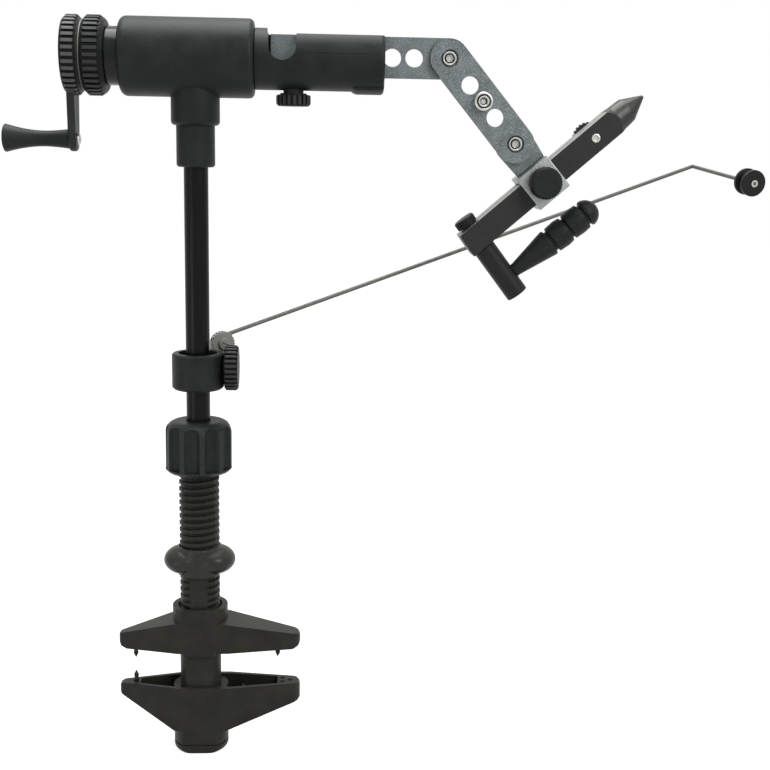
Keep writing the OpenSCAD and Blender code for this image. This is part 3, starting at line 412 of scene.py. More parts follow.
# The drag nut's ribs show as fine grey teeth on a dark rim: painted shade between them, and wear and a
# painted highlight on their tips.
disc_nylon = moulded_plastic("ribbed_disc_nylon", "#191c1b", "#232625", 0.46, grooves=DISC_GROOVES,
                             ridges=DISC_RIDGES)
# The crank is handled most, so it is paler, and its teeth are pale from wear and a painted highlight.
crank_nylon = moulded_plastic("crank_nylon", "#282b2a", "#333635", 0.46, grooves=DISC_GROOVES,
                              ridges=DISC_RIDGES, worn_and_lit="#5c5d5b")
# The block's knob is matt, with painted shade as dark lines between its ribs.
block_knob_nylon = moulded_plastic("block_knob_nylon", "#222524", "#292c2b", 0.55, gloss_level=0.10,
                                   grooves=(*BLOCK_KNOB, 6.0, 6.3))
# The collar's knob has painted shade in its deep valleys, and tips made pale by wear and a painted highlight.
collar_knob_nylon = moulded_plastic("collar_knob_nylon", "#1b1d1c", "#252726", 0.48,
                                    grooves=(*COLLAR_KNOB, 8.2, 8.8), ridges=(*COLLAR_KNOB, 9.25, 9.8))
# The thumb screw under the head lies in shade, so only its tips show: its valleys carry painted shade, and
# its tips wear and a painted highlight.
thumb_nylon = moulded_plastic("thumb_screw_nylon", "#191b1a", "#222423", 0.5, grooves=(*THUMB, 6.0, 6.4),
                              ridges=(*THUMB, 6.75, 7.1))
# The column's threads show as pale crests over roots darkened with painted shade, and its flats get no
# painted shade.
thread_nylon = moulded_plastic("threaded_column_nylon", "#282926", "#32332f", 0.44,
                               grooves=(*COLUMN, 7.6, 7.95), flats_mm=COLUMN_FLATS_MM)
# The collet nut's flutes end in crests that are lightened only a little, by wear and a painted highlight.
nut_nylon = moulded_plastic("fluted_nut_nylon", "#1f2220", "#292c2a", 0.42, ridges=(*COLUMN, 13.7, 14.3),
                            worn_and_lit="#2f3231")
print("ribbed plastics ready")

# %% [markdown]
# Steel plate. The offset plate, link and tongue are cut from sheet and tumbled in stones: the faces carry a
# salt-and-pepper speckle of tiny dents and soft broad clouds, so they reflect only blurred light. The real
# dents are a third of a millimetre wide and would vanish between pixels, so they are drawn at 0.5 mm or more.
# The cut walls are darkened by the laser's skin and by painted shade, which draws the outline and the rims of
# the holes. Metal keeps the shader's own IOR.

# %% Steel plate
# The cut walls' colour: the laser's dark skin together with painted shade.
LASER_SKIN_AND_SHADE = "#2c3032"
PLATE_CLOUD_MM = 6.0


def cut_edge_share(tree):
    """1 on the walls of a plate that lies across Y, 0 on its two faces."""
    facing = add(tree, "ShaderNodeTexCoord").outputs["Normal"]
    return add(tree, "ShaderNodeMapRange", Value=across_part(tree, facing), From_Min=0.2, From_Max=0.7,
               To_Min=1.0, To_Max=0.0).outputs[0]


def tumbled_steel(name, base, pale, deep, rough, contrast, speck_mm=0.7, metal=1.0, gloss_level=0.5,
                  wall_skin_and_shade=None):
    """Tumbled steel: a fine speckle, broad clouds, and on the cut walls a dark laser skin with painted shade.
    """
    material, tree, shader, place = new_material(name)
    specks = add(tree, "ShaderNodeTexNoise", Vector=place, Scale=per_patch(speck_mm), Detail=3.0,
                 Roughness=0.75).outputs["Fac"]
    clouds = add(tree, "ShaderNodeTexNoise", Vector=place, Scale=per_patch(PLATE_CLOUD_MM), Detail=4.0,
                 Roughness=0.55).outputs["Fac"]
    colour = coat(tree, base, deep, clouds, 0.32, 0.68, 0.6)
    colour = coat(tree, colour, pale, specks, 0.54, 0.70, contrast)
    colour = coat(tree, colour, deep, specks, 0.46, 0.30, contrast)
    # Laser skin and painted shade: the walls that face across the plate are darkened.
    if wall_skin_and_shade:
        colour = add(tree, "ShaderNodeMix", {"data_type": "RGBA"}, Factor=cut_edge_share(tree), i6=colour,
                     i7=wall_skin_and_shade).outputs[2]
    tree.links.new(colour, shader.inputs["Base Color"])
    shader.inputs["Metallic"].default_value = metal
    shader.inputs["Specular IOR Level"].default_value = gloss_level
    uneven_gloss(tree, shader, specks, 0.2, 0.8, rough - 0.1, rough + 0.1)
    bump = add(tree, "ShaderNodeBump", Strength=0.6, Distance=0.02 * MM, Height=specks)
    tree.links.new(bump.outputs[0], shader.inputs["Normal"])
    return material


# Tumbled sheet: mid grey, speckled, framed by walls darkened by laser skin and painted shade.
plate_steel = tumbled_steel("tumbled_sheet_steel", "#6c7274", "#9da2a2", "#464b4d", 0.46, 0.9, speck_mm=0.5,
                            wall_skin_and_shade=LASER_SKIN_AND_SHADE)
# The block is milled and then tumbled: the palest grey of the vise, with a weak speckle.
block_steel = tumbled_steel("machined_block_steel", "#9b9e9c", "#bdbfbd", "#7a7d7b", 0.46, 0.6, speck_mm=0.6)
# Black oxide on the cam: an even satin near-black. Oxide reflects like a paint, so it isn't metallic here.
cam_steel = tumbled_steel("black_oxide_cam_steel", "#212221", "#2d2e2d", "#1b1c1b", 0.42, 0.5, metal=0.0,
                          gloss_level=0.16)
print("plate steels ready")

# %% [markdown]
# Screws are plated and turned, so they are smoother and brighter than the plates. What tells the eye that
# they are screws are the dark rings round their heads, painted shade in the turned grooves and gaps. The
# rings are laid round the screw's own place, which the modelled screws below use too.

# %% Plated screws and wire
UPPER_PIVOT = (102.7, 0.0, 269.0)
LOWER_PIVOT = (130.73, 0.0, 235.47)
LINK_MIDDLE = (116.72, 0.0, 252.24)
STAIN_MM = 2.5
# Painted shade: the colour laid into the screws' turned grooves and gaps.
RING_SHADE = "#20211f"


def polished_metal(name, colour_hex, stain, rough, metal=1.0, grooves=()):
    """Smooth plated or drawn metal: even colour, faint stains, and painted shade in its turned grooves."""
    material, tree, shader, place = new_material(name)
    stains = add(tree, "ShaderNodeTexNoise", Vector=place, Scale=per_patch(STAIN_MM), Detail=4.0,
                 Roughness=0.55).outputs["Fac"]
    colour = coat(tree, colour_hex, stain, stains, 0.4, 0.75, 0.5)
    # Painted shade: each turned groove or gap is darkened as a ring.
    for ring in grooves:
        ring_shade_share = ring_band(tree, place, ring, fade_mm=0.12)
        colour = add(tree, "ShaderNodeMix", {"data_type": "RGBA"}, Factor=ring_shade_share, i6=colour,
                     i7=RING_SHADE).outputs[2]
    tree.links.new(colour, shader.inputs["Base Color"])
    shader.inputs["Metallic"].default_value = metal
    uneven_gloss(tree, shader, stains, 0.3, 0.7, rough - 0.04, rough + 0.06)
    return material


# Bright plate on steel: the small light spots of the screws and washers.
bright_steel = polished_metal("bright_plated_steel", "#b9b9b5", "#94958f", 0.34)
# The pivot screws have painted shade in the gap round the head and in a ring round the key hole.
pivot_steel = polished_metal("pivot_screw_steel", "#a9aaa6", "#8f908c", 0.38, grooves=[
    (UPPER_PIVOT, ACROSS, 1.5, 1.95), (LOWER_PIVOT, ACROSS, 1.5, 1.95), (UPPER_PIVOT, ACROSS, 2.8, 3.2),
    (LOWER_PIVOT, ACROSS, 2.8, 3.2)])
# The cap screw has painted shade in one ring in its face and in one round the key hole.
cap_steel = polished_metal("cap_screw_steel", "#b9b9b5", "#9a9b97", 0.36, grooves=[
    (LINK_MIDDLE, ACROSS, 2.35, 2.75), (LINK_MIDDLE, ACROSS, 1.1, 1.4)])
# Drawn spring wire keeps a dull grey skin from the die and shows no mirror line.
wire_steel = polished_metal("drawn_wire_steel", "#5f605c", "#575853", 0.62, metal=0.85)
print("screw and wire steels ready")

# %% [markdown]
# Two dark steels carry streaks along their length. The gripping pins are hardened wire, black from the
# quench, and glint a little. The post is a ground rod with a black oxide skin, which reflects like a gloss
# paint, so it is a dielectric here and not a bare metal: smooth enough to hold a long bright line, with
# the vertical streaks that the clamps leave. A streak is a noise that is stretched along Z. The marks of
# the die on the pins are finer than the quarter of a millimetre at which they are drawn.

# %% Pin steel
spike_steel, tree, shader, place = new_material("blackened_pin_steel")
drawn = add(tree, "ShaderNodeMapping", Vector=place, Scale=(1.0, 1.0, 0.04)).outputs[0]
streaks = add(tree, "ShaderNodeTexNoise", Vector=drawn, Scale=per_patch(0.25), Detail=2.0,
              Roughness=0.55).outputs["Fac"]
black_brown = coat(tree, "#2e2e2b", "#1c1c1a", streaks, 0.35, 0.65, 0.3)
tree.links.new(black_brown, shader.inputs["Base Color"])
shader.inputs["Metallic"].default_value = 1.0
uneven_gloss(tree, shader, streaks, 0.3, 0.7, 0.33, 0.46)
bump = add(tree, "ShaderNodeBump", Strength=0.35, Distance=0.01 * MM, Height=streaks)
tree.links.new(bump.outputs[0], shader.inputs["Normal"])
print("pin steel ready")

# %% [markdown]
# The post's streaks are half a millimetre wide and thirty times as long, and a few grains of dust lie over
# them. The skin's own reflection is weak, so the rod reads as deep black beside the satin nylon.

# %% Post skin
OXIDE_IOR = 1.55
post_black, tree, shader, place = new_material("black_oxide_rod")
drawn = add(tree, "ShaderNodeMapping", Vector=place, Scale=(1.0, 1.0, 0.03)).outputs[0]
streaks = add(tree, "ShaderNodeTexNoise", Vector=drawn, Scale=per_patch(0.5), Detail=4.0,
              Roughness=0.55).outputs["Fac"]
dust = add(tree, "ShaderNodeTexNoise", Vector=place, Scale=per_patch(0.7), Detail=4.0,
           Roughness=0.8).outputs["Fac"]
deep_black = coat(tree, "#050606", "#0f1010", streaks, 0.35, 0.65)
deep_black = coat(tree, deep_black, "#6a6b69", dust, 0.70, 0.80, 0.5)
tree.links.new(deep_black, shader.inputs["Base Color"])
uneven_gloss(tree, shader, streaks, 0.3, 0.7, 0.25, 0.38)
shader.inputs["IOR"].default_value = OXIDE_IOR
shader.inputs["Specular IOR Level"].default_value = 0.1
print("post skin ready")

# %% [markdown]
# The jaws are tool steel with a black oxide on the sides. The maker grinds the nose and the top edge after
# blackening, so bare steel shows there. Distances along and across the bar are dot products with the bar's
# own axes, which keeps the two ground patches on the metal whatever the pose or the view.

# %% Where the jaws are ground
BAR_MIDDLE = (163.62, 0.0, 238.49)
BAR_ANGLE = math.radians(41.0)
BAR_ALONG = Vector((math.cos(BAR_ANGLE), 0.0, math.sin(BAR_ANGLE)))
BAR_UP = Vector((-math.sin(BAR_ANGLE), 0.0, math.cos(BAR_ANGLE)))
NOSE_FROM = 10.0 * MM
TOP_FROM = 5.2 * MM
SIDE_FACE = 6.36 * MM


def distance_along(tree, place, start_mm, direction):
    """How far a point lies from start along a direction."""
    offset = add(tree, "ShaderNodeVectorMath", {"operation": "SUBTRACT"}, i0=place,
                 i1=Vector(start_mm) * MM).outputs[0]
    return add(tree, "ShaderNodeVectorMath", {"operation": "DOT_PRODUCT"}, i0=offset,
               i1=direction).outputs["Value"]


jaw_steel = tumbled_steel("black_oxide_jaw_steel", "#2b2c2b", "#3b3c3b", "#222322", 0.42, 0.5, metal=0.0,
                          gloss_level=0.2)
tree = jaw_steel.node_tree
shader = tree.nodes["Principled BSDF"]
place = add(tree, "ShaderNodeTexCoord").outputs["Object"]
along = distance_along(tree, place, BAR_MIDDLE, BAR_ALONG)
up = distance_along(tree, place, BAR_MIDDLE, BAR_UP)
past_nose = add(tree, "ShaderNodeMapRange", Value=along, From_Min=NOSE_FROM,
                From_Max=NOSE_FROM + 0.1 * MM).outputs[0]
off_side = add(tree, "ShaderNodeMapRange", Value=across_part(tree, place), From_Min=SIDE_FACE,
               From_Max=SIDE_FACE + 0.02 * MM, To_Min=1.0, To_Max=0.0).outputs[0]
nose = add(tree, "ShaderNodeMath", {"operation": "MULTIPLY"}, i0=past_nose, i1=off_side).outputs[0]
top = add(tree, "ShaderNodeMapRange", Value=up, From_Min=TOP_FROM, From_Max=TOP_FROM + 0.02 * MM).outputs[0]
bare = add(tree, "ShaderNodeMath", {"operation": "MAXIMUM"}, i0=nose, i1=top).outputs[0]
print("the nose is ground from", round(NOSE_FROM / MM, 1), "mm past the adjusting screw")

# %% [markdown]
# Where the oxide is ground off, three things change at once: the colour goes pale on top and a scratched
# grey on the nose, the skin turns metallic, and the speckle of the old surface fades. The same mask drives
# all three, so they end on one line.

# %% Bare steel on the jaws
grit = add(tree, "ShaderNodeTexNoise", Vector=place, Scale=per_patch(0.5), Detail=4.0,
           Roughness=0.7).outputs["Fac"]
oxide = shader.inputs["Base Color"].links[0].from_socket
ground_top = coat(tree, "#7d7e7a", "#9b9c97", grit, 0.3, 0.7)
ground_nose = coat(tree, "#3b3c3a", "#414240", grit, 0.3, 0.7)
jaw_colour = add(tree, "ShaderNodeMix", {"data_type": "RGBA"}, Factor=top, i6=oxide, i7=ground_top).outputs[2]
jaw_colour = add(tree, "ShaderNodeMix", {"data_type": "RGBA"}, Factor=nose, i6=jaw_colour,
                 i7=ground_nose).outputs[2]
tree.links.new(jaw_colour, shader.inputs["Base Color"])
metallic = add(tree, "ShaderNodeMapRange", Value=bare, To_Max=0.85).outputs[0]
tree.links.new(metallic, shader.inputs["Metallic"])
speckle = shader.inputs["Normal"].links[0].from_node
faded = add(tree, "ShaderNodeMapRange", Value=bare, To_Min=0.6, To_Max=0.1).outputs[0]
tree.links.new(faded, speckle.inputs["Strength"])
print("jaw finish ready")

# %% [markdown]
# Each solid of the frame takes the finish of its material slot in the record, apart from a few whose finish
# is their own.

# %% Give every solid its finish
FINISHES = {
    "black_plastic": black_nylon,
    "clamp_plastic": clamp_nylon,
    "grey_plastic": grey_acetal,
    "steel_plate": plate_steel,
    "wire_steel": wire_steel,
    "bright_screws": bright_steel,
    "block_steel": block_steel,
    "jaw_steel": jaw_steel,
    "post_coat": post_black,
    "wheel_rubber": wheel_black,
}
OWN_FINISHES = {
    "neck_bush": bush_acetal,
    "block_knob": block_knob_nylon,
    "cradle_knob": collar_knob_nylon,
    "crank": crank_nylon,
    "cam_shaft": cam_steel,
    "drag_nut": disc_nylon,
    "head_thumbscrew": thumb_nylon,
    "clamp_tube": thread_nylon,
    "collet_nut": nut_nylon,
    "arm_axle": holder_acetal,
    "wheel_washers": bright_steel,
    "arm_holder": holder_acetal,
    "lower_spike": spike_steel,
    "upper_spikes": spike_steel,
}


def finish_of(node):
    """The material that a solid is finished in."""
    return OWN_FINISHES.get(node, FINISHES[slot_of_node[node]])


for node, solid in nodes.items():
    if not solid.data.materials:
        solid.data.materials.append(None)
    for material_slot in solid.material_slots:
        material_slot.material = finish_of(node)
print("finishes given to", len(nodes), "solids")

# %% [markdown]
# New pieces are handed over the same way each time. A piece gets its material, rides on a body so that it
# moves with the joint, and may stand for solids of the frame, which are then hidden. Operators act on what is
# selected, so a second helper selects only what is meant.


# %% Hand-over helpers
def pick(*items):
    """Selects only these objects and makes the first one active."""
    bpy.ops.object.select_all(action="DESELECT")
    for item in items:
        item.select_set(True)
    bpy.context.view_layer.objects.active = items[0]


def hand_over(piece, body, slot, finish, *stands_for):
    """Gives a finished piece its material and its body, and hides the solids that it stands for; slot is not
    used.
    """
    piece.data.materials.clear()
    piece.data.materials.append(finish)
    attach(piece, body)
    if stands_for:
        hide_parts(*stands_for)


print("bodies to ride on:", len(set(body_of_node.values())))

# %% [markdown]
# Real edges are never sharp: a mould has small radii and a laser-cut plate is tumbled until its rims
# shine. The light line along each rim is most of what makes a part look made. A bevel draws it, and only on
# edges that point outwards, since inner corners stay crisp in a mould. The bevel's normals are then
# weighted by area, so that the flat faces stay flat.

# %% Edge rounding
SHARP_ANGLE = math.radians(32)
BEVEL_STEPS = 2


def weigh_outer_edges(piece):
    """Marks each sharp outward edge for the bevel."""
    mesh = bmesh.new()
    mesh.from_mesh(piece.data)
    weight = mesh.edges.layers.float.new("bevel_weight_edge")
    for edge in mesh.edges:
        outward = len(edge.link_faces) == 2 and edge.is_convex
        if outward and edge.calc_face_angle() > SHARP_ANGLE:
            edge[weight] = 1.0
    mesh.to_mesh(piece.data)
    mesh.free()


def round_edges(piece, width_mm):
    """Bevels the outward edges, and shades flats flat and rounds smooth."""
    pick(piece)
    weigh_outer_edges(piece)
    bevel = piece.modifiers.new("rounded_edges", "BEVEL")
    bevel.width = width_mm * MM
    bevel.segments = BEVEL_STEPS
    bevel.limit_method = "WEIGHT"
    bpy.ops.object.modifier_apply(modifier=bevel.name)
    bpy.ops.object.shade_smooth_by_angle(angle=math.radians(40))
    flat = piece.modifiers.new("flat_faces", "WEIGHTED_NORMAL")
    flat.mode = "FACE_AREA"
    flat.weight = 80
    flat.keep_sharp = True
    bpy.ops.object.modifier_apply(modifier=flat.name)


print("edges sharper than", round(math.degrees(SHARP_ANGLE)), "degrees get rounded")

# %% [markdown]
# Every solid that the eye can see gets a copy with rounded edges. The frame's mesh is loose triangles, so
# the copy's corners are merged and its flat faces joined first; only then can a bevel run along an edge.
# The radii are in millimetres: wide on mouldings and plates, small on ribs, which a wide one would eat.


# %% Rounded copies of the visible solids
def rounded_copy(node, width_mm):
    """A copy of a solid with rounded edges, which stands for the solid."""
    piece = bpy.data.objects.new(node + "_rounded", nodes[node].data.copy())
    bpy.context.scene.collection.objects.link(piece)
    pick(piece)
    bpy.ops.mesh.customdata_custom_splitnormals_clear()
    bpy.ops.object.mode_set(mode="EDIT")
    bpy.ops.mesh.select_all(action="SELECT")
    bpy.ops.mesh.remove_doubles(threshold=0.001 * MM)
    bpy.ops.mesh.dissolve_limited(angle_limit=math.radians(0.6))
    bpy.ops.object.mode_set(mode="OBJECT")
    round_edges(piece, width_mm)
    hand_over(piece, body_of_node[node], slot_of_node[node], finish_of(node), node)
    return piece


EDGE_RADII = {
    "barrel": 0.5,
    "neck_bush": 0.4,
    "crank": 0.22,
    "drag_nut": 0.22,
    "friction_washer": 0.15,
    "crank_handle": 0.35,
    "head_tube": 0.4,
    "head_thumbscrew": 0.2,
    "offset_plate": 0.45,
    "link": 0.45,
    "jaw_bracket": 0.45,
    "clamp_block": 0.4,
    "block_knob": 0.12,
    "front_jaw": 0.25,
    "back_jaw": 0.25,
    "adjusting_wheel": 0.2,
    "cam_shaft": 0.3,
    "cam_knob": 0.15,
    "lever_handle": 0.25,
    "cradle_collar": 0.4,
    "cradle_knob": 0.2,
    "arm_holder": 0.2,
    "cradle_wheel": 0.25,
    "collet_nut": 0.4,
    "upper_jaw": 0.35,
    "lower_jaw": 0.35,
    "end_cap": 0.35,
}
for node, width in EDGE_RADII.items():
    piece = rounded_copy(node, width)
    print(piece.name, len(piece.data.polygons), "faces")

# %% [markdown]
# Turned pieces. A screw starts as a disc whose face is extruded along the axis and scaled at every step of
# the profile, as on a lathe. Two shapes aren't round: a hexagon for a key, and a knurl, where every other
# corner is pulled in. The piece is made upright, then stood on its place and axis, and its place is
# applied to the mesh.

# %% Lathe helper
KNURL_VALLEY = 0.93


def shape_ring(piece, radius_mm, form="round"):
    """Moves the selected ring to a circle, a hexagon or a knurl of that radius."""
    mesh = bmesh.from_edit_mesh(piece.data)
    ring = [corner for corner in mesh.verts if corner.select]
    step = 2 * math.pi / len(ring)
    for corner in ring:
        angle = math.atan2(corner.co.y, corner.co.x)
        reach = radius_mm * MM
        if form == "hex":
            reach /= math.cos((angle + math.pi / 6) % (math.pi / 3) - math.pi / 6)
        if form == "knurl" and round(angle / step) % 2:
            reach *= KNURL_VALLEY
        corner.co.x = reach * math.cos(angle)
        corner.co.y = reach * math.sin(angle)
    bmesh.update_edit_mesh(piece.data)


def turned(name, profile, place_mm, axis, sides=48, edge_mm=0.08):
    """Turns a piece. A profile step is (mm along the axis, radius in mm), and hex or knurl if not round."""
    bpy.ops.object.select_all(action="DESELECT")
    start, radius = profile[0]
    bpy.ops.mesh.primitive_circle_add(vertices=sides, radius=radius * MM, fill_type="NGON",
                                      location=(0, 0, 0), enter_editmode=True)
    piece = bpy.context.object
    piece.name = name
    along = start
    for step, next_radius, *form in profile[1:]:
        bpy.ops.mesh.extrude_region_move(TRANSFORM_OT_translate={"value": (0, 0, (step - along) * MM)})
        bpy.ops.transform.resize(value=(next_radius / radius, next_radius / radius, 1))
        shape_ring(piece, next_radius, *form)
        along, radius = step, next_radius
    bpy.ops.mesh.select_all(action="SELECT")
    bpy.ops.mesh.normals_make_consistent(inside=False)
    bpy.ops.object.mode_set(mode="OBJECT")
    turn = Vector(axis).to_track_quat("Z", "Y").to_matrix().to_4x4()
    to_place = Matrix.Translation(Vector(place_mm) * MM)
    to_start = Matrix.Translation((0, 0, start * MM))
    piece.matrix_world = to_place @ turn @ to_start
    pick(piece)
    bpy.ops.object.transform_apply(location=True, rotation=True, scale=True)
    round_edges(piece, edge_mm)
    return piece


def joined(name, *pieces):
    """Joins several pieces into one."""
    pick(*pieces)
    bpy.ops.object.join()
    pieces[0].name = name
    return pieces[0]


print("lathe ready; a knurl's valleys lie at", KNURL_VALLEY, "of its radius")

# %% [markdown]
# The link turns on two pivot screws. Their heads sit in counterbores, level with the link, and show as a
# dark gap, a bright chamfered rim, a dished ring and a hexagonal key hole. The shank passes through the
# link into the plate behind and ends in a dimple, where the lathe's centre drill started.

# %% Pivot screws
TOWARDS_EYE = (0.0, -1.0, 0.0)
PIVOT_FOOT = 1.5
PIVOT_PROFILE = [
    (0.25, 0.9), (0.0, 1.3), (0.0, 2.3), (0.25, 2.6), (4.6, 2.6), (4.6, 3.0), (5.75, 3.0), (6.08, 2.7),
    (6.08, 2.25), (5.75, 1.95), (5.75, 1.75), (5.9, 1.6), (5.9, 1.2, "hex"), (4.9, 1.15, "hex"),
]


def at_depth(place_mm, depth_mm):
    """The same place, moved across the vise to a depth."""
    return (place_mm[0], depth_mm, place_mm[2])


pivot_screws = joined("pivot_screws", *[
    turned("pivot_screw_" + which, PIVOT_PROFILE, at_depth(pivot, PIVOT_FOOT), TOWARDS_EYE)
    for which, pivot in (("upper", UPPER_PIVOT), ("lower", LOWER_PIVOT))])
hand_over(pivot_screws, "swing_link", "bright_screws", pivot_steel, "link_screws")
print("pivot screws:", len(pivot_screws.data.polygons), "faces")

# %% [markdown]
# The proud cap screw in the middle of the link is a tensioning screw with a knurled head. The knurl gives
# the fingers a hold; the face has a turned rim, a groove and a raised boss round the key hole, which catch
# the light as concentric rings.

# %% Cap screw
CAP_FOOT = -1.6
CAP_PROFILE = [
    (0.0, 2.0), (3.0, 2.0), (3.0, 3.75), (3.3, 3.98, "knurl"), (5.9, 3.98, "knurl"), (6.25, 3.75),
    (6.55, 3.4), (6.6, 3.1), (6.15, 2.75), (6.15, 2.35), (6.45, 2.15), (6.45, 1.75), (6.2, 1.5),
    (6.2, 1.35, "hex"), (4.6, 1.3, "hex"),
]
cap_screw = turned("knurled_cap_screw", CAP_PROFILE, at_depth(LINK_MIDDLE, CAP_FOOT), TOWARDS_EYE, sides=60)
hand_over(cap_screw, "swing_link", "bright_screws", cap_steel, "link_cap_screw")
print("cap screw:", len(cap_screw.data.polygons), "faces")

# %% [markdown]
# The adjusting screw of the jaws runs from the small bright head in the front jaw to the ribbed wheel behind
# the rear one. Its head is domed, with a wide key hole that shows as a dark spot.

# %% Adjusting screw
ADJUST_FOOT = 10.4
ADJUST_PROFILE = [
    (0.25, 0.6), (0.0, 0.9), (0.0, 1.35), (0.25, 1.6), (15.65, 1.6), (15.65, 1.95), (16.55, 1.95),
    (16.8, 1.7), (16.88, 1.3), (16.88, 1.05), (16.7, 0.9, "hex"), (16.1, 0.85, "hex"),
]
adjusting_screw = turned("jaw_adjusting_screw", ADJUST_PROFILE, at_depth(BAR_MIDDLE, ADJUST_FOOT),
                         TOWARDS_EYE)
hand_over(adjusting_screw, "jaw_bar", "bright_screws", bright_steel, "adjusting_screw")
print("adjusting screw:", len(adjusting_screw.data.polygons), "faces")

# %% [markdown]
# A shoulder screw holds the handle to the crank and lets it spin. Only its domed head shows, on the inner
# side of the crank. Its profile is given in places along the vise, so it stands at 0 there.

# %% Handle screw
HANDLE_AXIS = (0.0, 0.0, 234.3)
HANDLE_PROFILE = [
    (-66.72, 2.0), (-47.5, 2.0), (-47.5, 2.45), (-46.95, 2.45), (-46.6, 2.2), (-46.42, 1.7), (-46.42, 1.3),
    (-46.6, 1.05, "hex"), (-47.3, 1.0, "hex"),
]
handle_screw = turned("handle_shoulder_screw", HANDLE_PROFILE, HANDLE_AXIS, ALONG)
hand_over(handle_screw, "rotor", "bright_screws", bright_steel, "handle_screw")
print("handle screw:", len(handle_screw.data.polygons), "faces")

# %% [markdown]
# The clamp grips the table with three hardened pins. Each is pressed into its jaw and has a barbed head: a
# waist, a collar and a sharp cone that bites the wood. One points up from the lower jaw's rim, and two
# point down from the upper jaw's.

# %% Gripping pins
PIN_PROFILE = [
    (-3.0, 1.05), (1.0, 1.05), (1.2, 0.92), (2.2, 0.9), (2.4, 1.08), (3.1, 1.04), (3.9, 0.68), (4.98, 0.1),
]
DOWN = (0.0, 0.0, -1.0)
LEFT_PIN = -28.3
RIGHT_PIN = 33.8
UPPER_RIM = 16.0
lower_pin = turned("lower_gripping_pin", PIN_PROFILE, (LEFT_PIN, 0.0, 0.0), UP, sides=24, edge_mm=0.04)
hand_over(lower_pin, "clamp_base", "steel_plate", spike_steel, "lower_spike")
upper_pins = joined("upper_gripping_pins", *[
    turned("upper_pin_" + side, PIN_PROFILE, (across, 0.0, UPPER_RIM), DOWN, sides=24, edge_mm=0.04)
    for side, across in (("left", LEFT_PIN), ("right", RIGHT_PIN))])
hand_over(upper_pins, "upper_clamp", "steel_plate", spike_steel, "upper_spikes")
print("gripping pins:", len(lower_pin.data.polygons) + len(upper_pins.data.polygons), "faces")

# %% [markdown]
# The wing nut is one soft casting: a hub with two thumb lobes that swell out of it. Its forms run into each
# other without an edge, so it is built from three closed shapes, a turned hub and two stretched spheres,
# melted into one skin by a voxel remesh and smoothed. The bore for the column is cut last, so that it
# stays round.

# %% Wing nut
NUT_LOW = 49.9
NUT_HEIGHT = 12.8
NUT_MIDDLE = 56.3
HUB_PROFILE = [(0.0, 9.0), (0.5, 9.6), (NUT_HEIGHT - 0.5, 9.6), (NUT_HEIGHT, 9.0)]
BORE_PROFILE = [(-1.0, 8.75), (NUT_HEIGHT + 1.0, 8.75)]
LOBE_OFFSET = 6.0
LOBE_RADII = (9.4, 10.1, 6.35)


def lobe(name, centre_mm, radii_mm):
    """A stretched sphere."""
    bpy.ops.object.select_all(action="DESELECT")
    bpy.ops.mesh.primitive_uv_sphere_add(segments=48, ring_count=32, radius=MM, enter_editmode=True,
                                         location=Vector(centre_mm) * MM)
    bpy.ops.transform.resize(value=radii_mm)
    bpy.ops.object.mode_set(mode="OBJECT")
    piece = bpy.context.object
    piece.name = name
    bpy.ops.object.transform_apply(location=True, rotation=True, scale=True)
    return piece


def cut(piece, cutter):
    """Takes the cutter's shape out of the piece, and the cutter away."""
    pick(piece)
    bite = piece.modifiers.new("cut", "BOOLEAN")
    bite.operation = "DIFFERENCE"
    bite.solver = "EXACT"
    bite.object = cutter
    bpy.ops.object.modifier_apply(modifier=bite.name)
    bpy.data.objects.remove(cutter)


hub = turned("wing_hub", HUB_PROFILE, (0.0, 0.0, NUT_LOW), UP)
lobes = [lobe("lobe_" + side, (across, 0.0, NUT_MIDDLE), LOBE_RADII)
         for side, across in (("left", -LOBE_OFFSET), ("right", LOBE_OFFSET))]
wing_nut = joined("cast_wing_nut", hub, *lobes)
wing_nut.data.remesh_voxel_size = 0.3 * MM
bpy.ops.object.voxel_remesh()
melt = wing_nut.modifiers.new("melt", "SMOOTH")
melt.iterations = 3
bpy.ops.object.modifier_apply(modifier=melt.name)
cut(wing_nut, turned("column_bore", BORE_PROFILE, (0.0, 0.0, NUT_LOW), UP, sides=64))
pick(wing_nut)
bpy.ops.object.shade_smooth_by_angle(angle=math.radians(50))
hand_over(wing_nut, "wing", "clamp_plastic", wing_nylon, "wing_nut")
print("wing nut:", len(wing_nut.data.polygons), "faces")

# %% [markdown]
# The head of the cradle's axle has a slot for a screwdriver. It is milled out of a rounded copy of the head
# with a thin block, turned with the splayed arm and a little off level, as an assembler leaves it.

# %% Axle slot
SLOT_PLACE = (10.76, 9.28, 149.2)
SLOT_SIZE = (3.3, 1.2, 0.7)
SLOT_LEAN = math.radians(20.0)
ARM_SPLAY = math.radians(24.0)


def open_block(place_mm, size_mm):
    """Adds a block of that size and leaves it open in edit mode."""
    bpy.ops.object.select_all(action="DESELECT")
    bpy.ops.mesh.primitive_cube_add(size=MM, location=Vector(place_mm) * MM, enter_editmode=True)
    bpy.ops.transform.resize(value=size_mm)
    return bpy.context.object


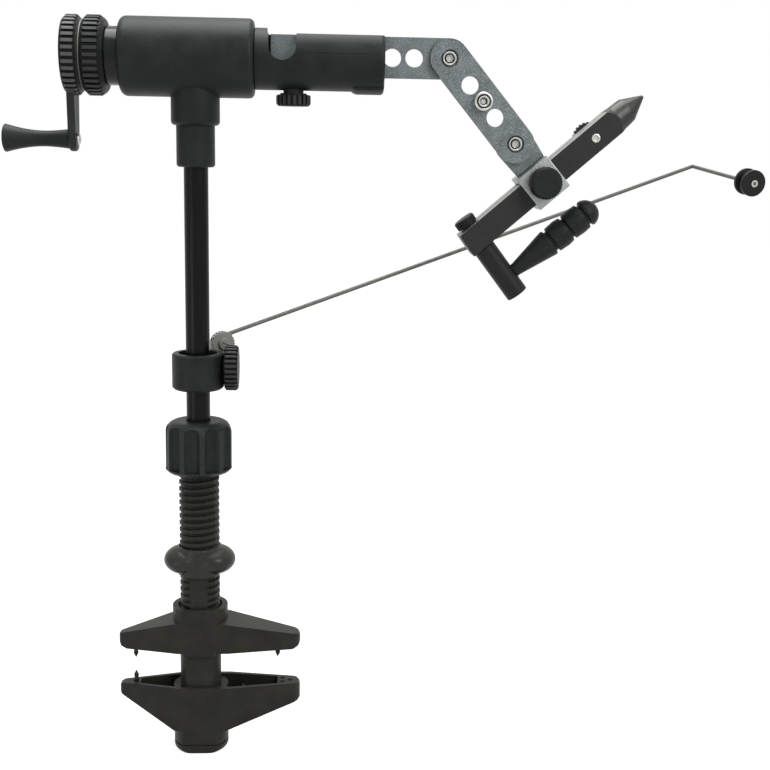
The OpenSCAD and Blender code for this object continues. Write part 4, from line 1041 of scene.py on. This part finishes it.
slot_cutter = open_block(SLOT_PLACE, SLOT_SIZE)
bpy.ops.object.mode_set(mode="OBJECT")
slot_cutter.rotation_euler = (0.0, SLOT_LEAN, ARM_SPLAY)
bpy.ops.object.transform_apply(location=True, rotation=True, scale=True)
slotted_axle = rounded_copy("arm_axle", 0.12)
cut(slotted_axle, slot_cutter)
print("slotted axle:", len(slotted_axle.data.polygons), "faces")

# %% [markdown]
# Moulding leaves small honest marks. Where two halves of the mould met, a hair of flash runs along the head
# tube, in front and behind. It is modelled as a thin bevelled ridge that sinks into the tube.

# %% Mould flash
FLASH_MIDDLE = (58.0, 0.0, 269.7)
FLASH_SIZE = (34.0, 0.28, 0.28)
FLASH_DEPTH = 11.96


def flash_line(name, place_mm, size_mm):
    """A thin ridge with bevelled edges."""
    piece = open_block(place_mm, size_mm)
    piece.name = name
    bpy.ops.mesh.bevel(offset=size_mm[2] / 4 * MM, segments=2, affect="EDGES")
    bpy.ops.object.mode_set(mode="OBJECT")
    bpy.ops.object.transform_apply(location=True, rotation=True, scale=True)
    bpy.ops.object.shade_smooth_by_angle(angle=math.radians(40))
    return piece


head_flash = joined("head_flash", *[
    flash_line("flash_" + side, at_depth(FLASH_MIDDLE, depth), FLASH_SIZE)
    for side, depth in (("front", -FLASH_DEPTH), ("back", FLASH_DEPTH))])
hand_over(head_flash, "rotor", "black_plastic", black_nylon)
print("mould flash:", len(head_flash.data.polygons), "faces")

# %% [markdown]
# Where the plastic was let into the mould, a low round scar stays on the front of each clamp jaw. It is
# turned as a shallow ring with a sunken middle.

# %% Gate scars
GATE_PROFILE = [(-0.4, 1.0), (0.1, 1.0), (0.16, 0.8), (0.05, 0.55)]
JAW_FACE = -9.16
GATES = {
    "lower_jaw_gate": ((-2.9, JAW_FACE, -11.0), "clamp_base"),
    "upper_jaw_gate": ((0.5, JAW_FACE, 31.0), "upper_clamp"),
}
for name, (scar, body) in GATES.items():
    gate = turned(name, GATE_PROFILE, scar, TOWARDS_EYE, sides=24, edge_mm=0.03)
    hand_over(gate, body, "clamp_plastic", clamp_nylon)
print("gate scars:", len(GATES))
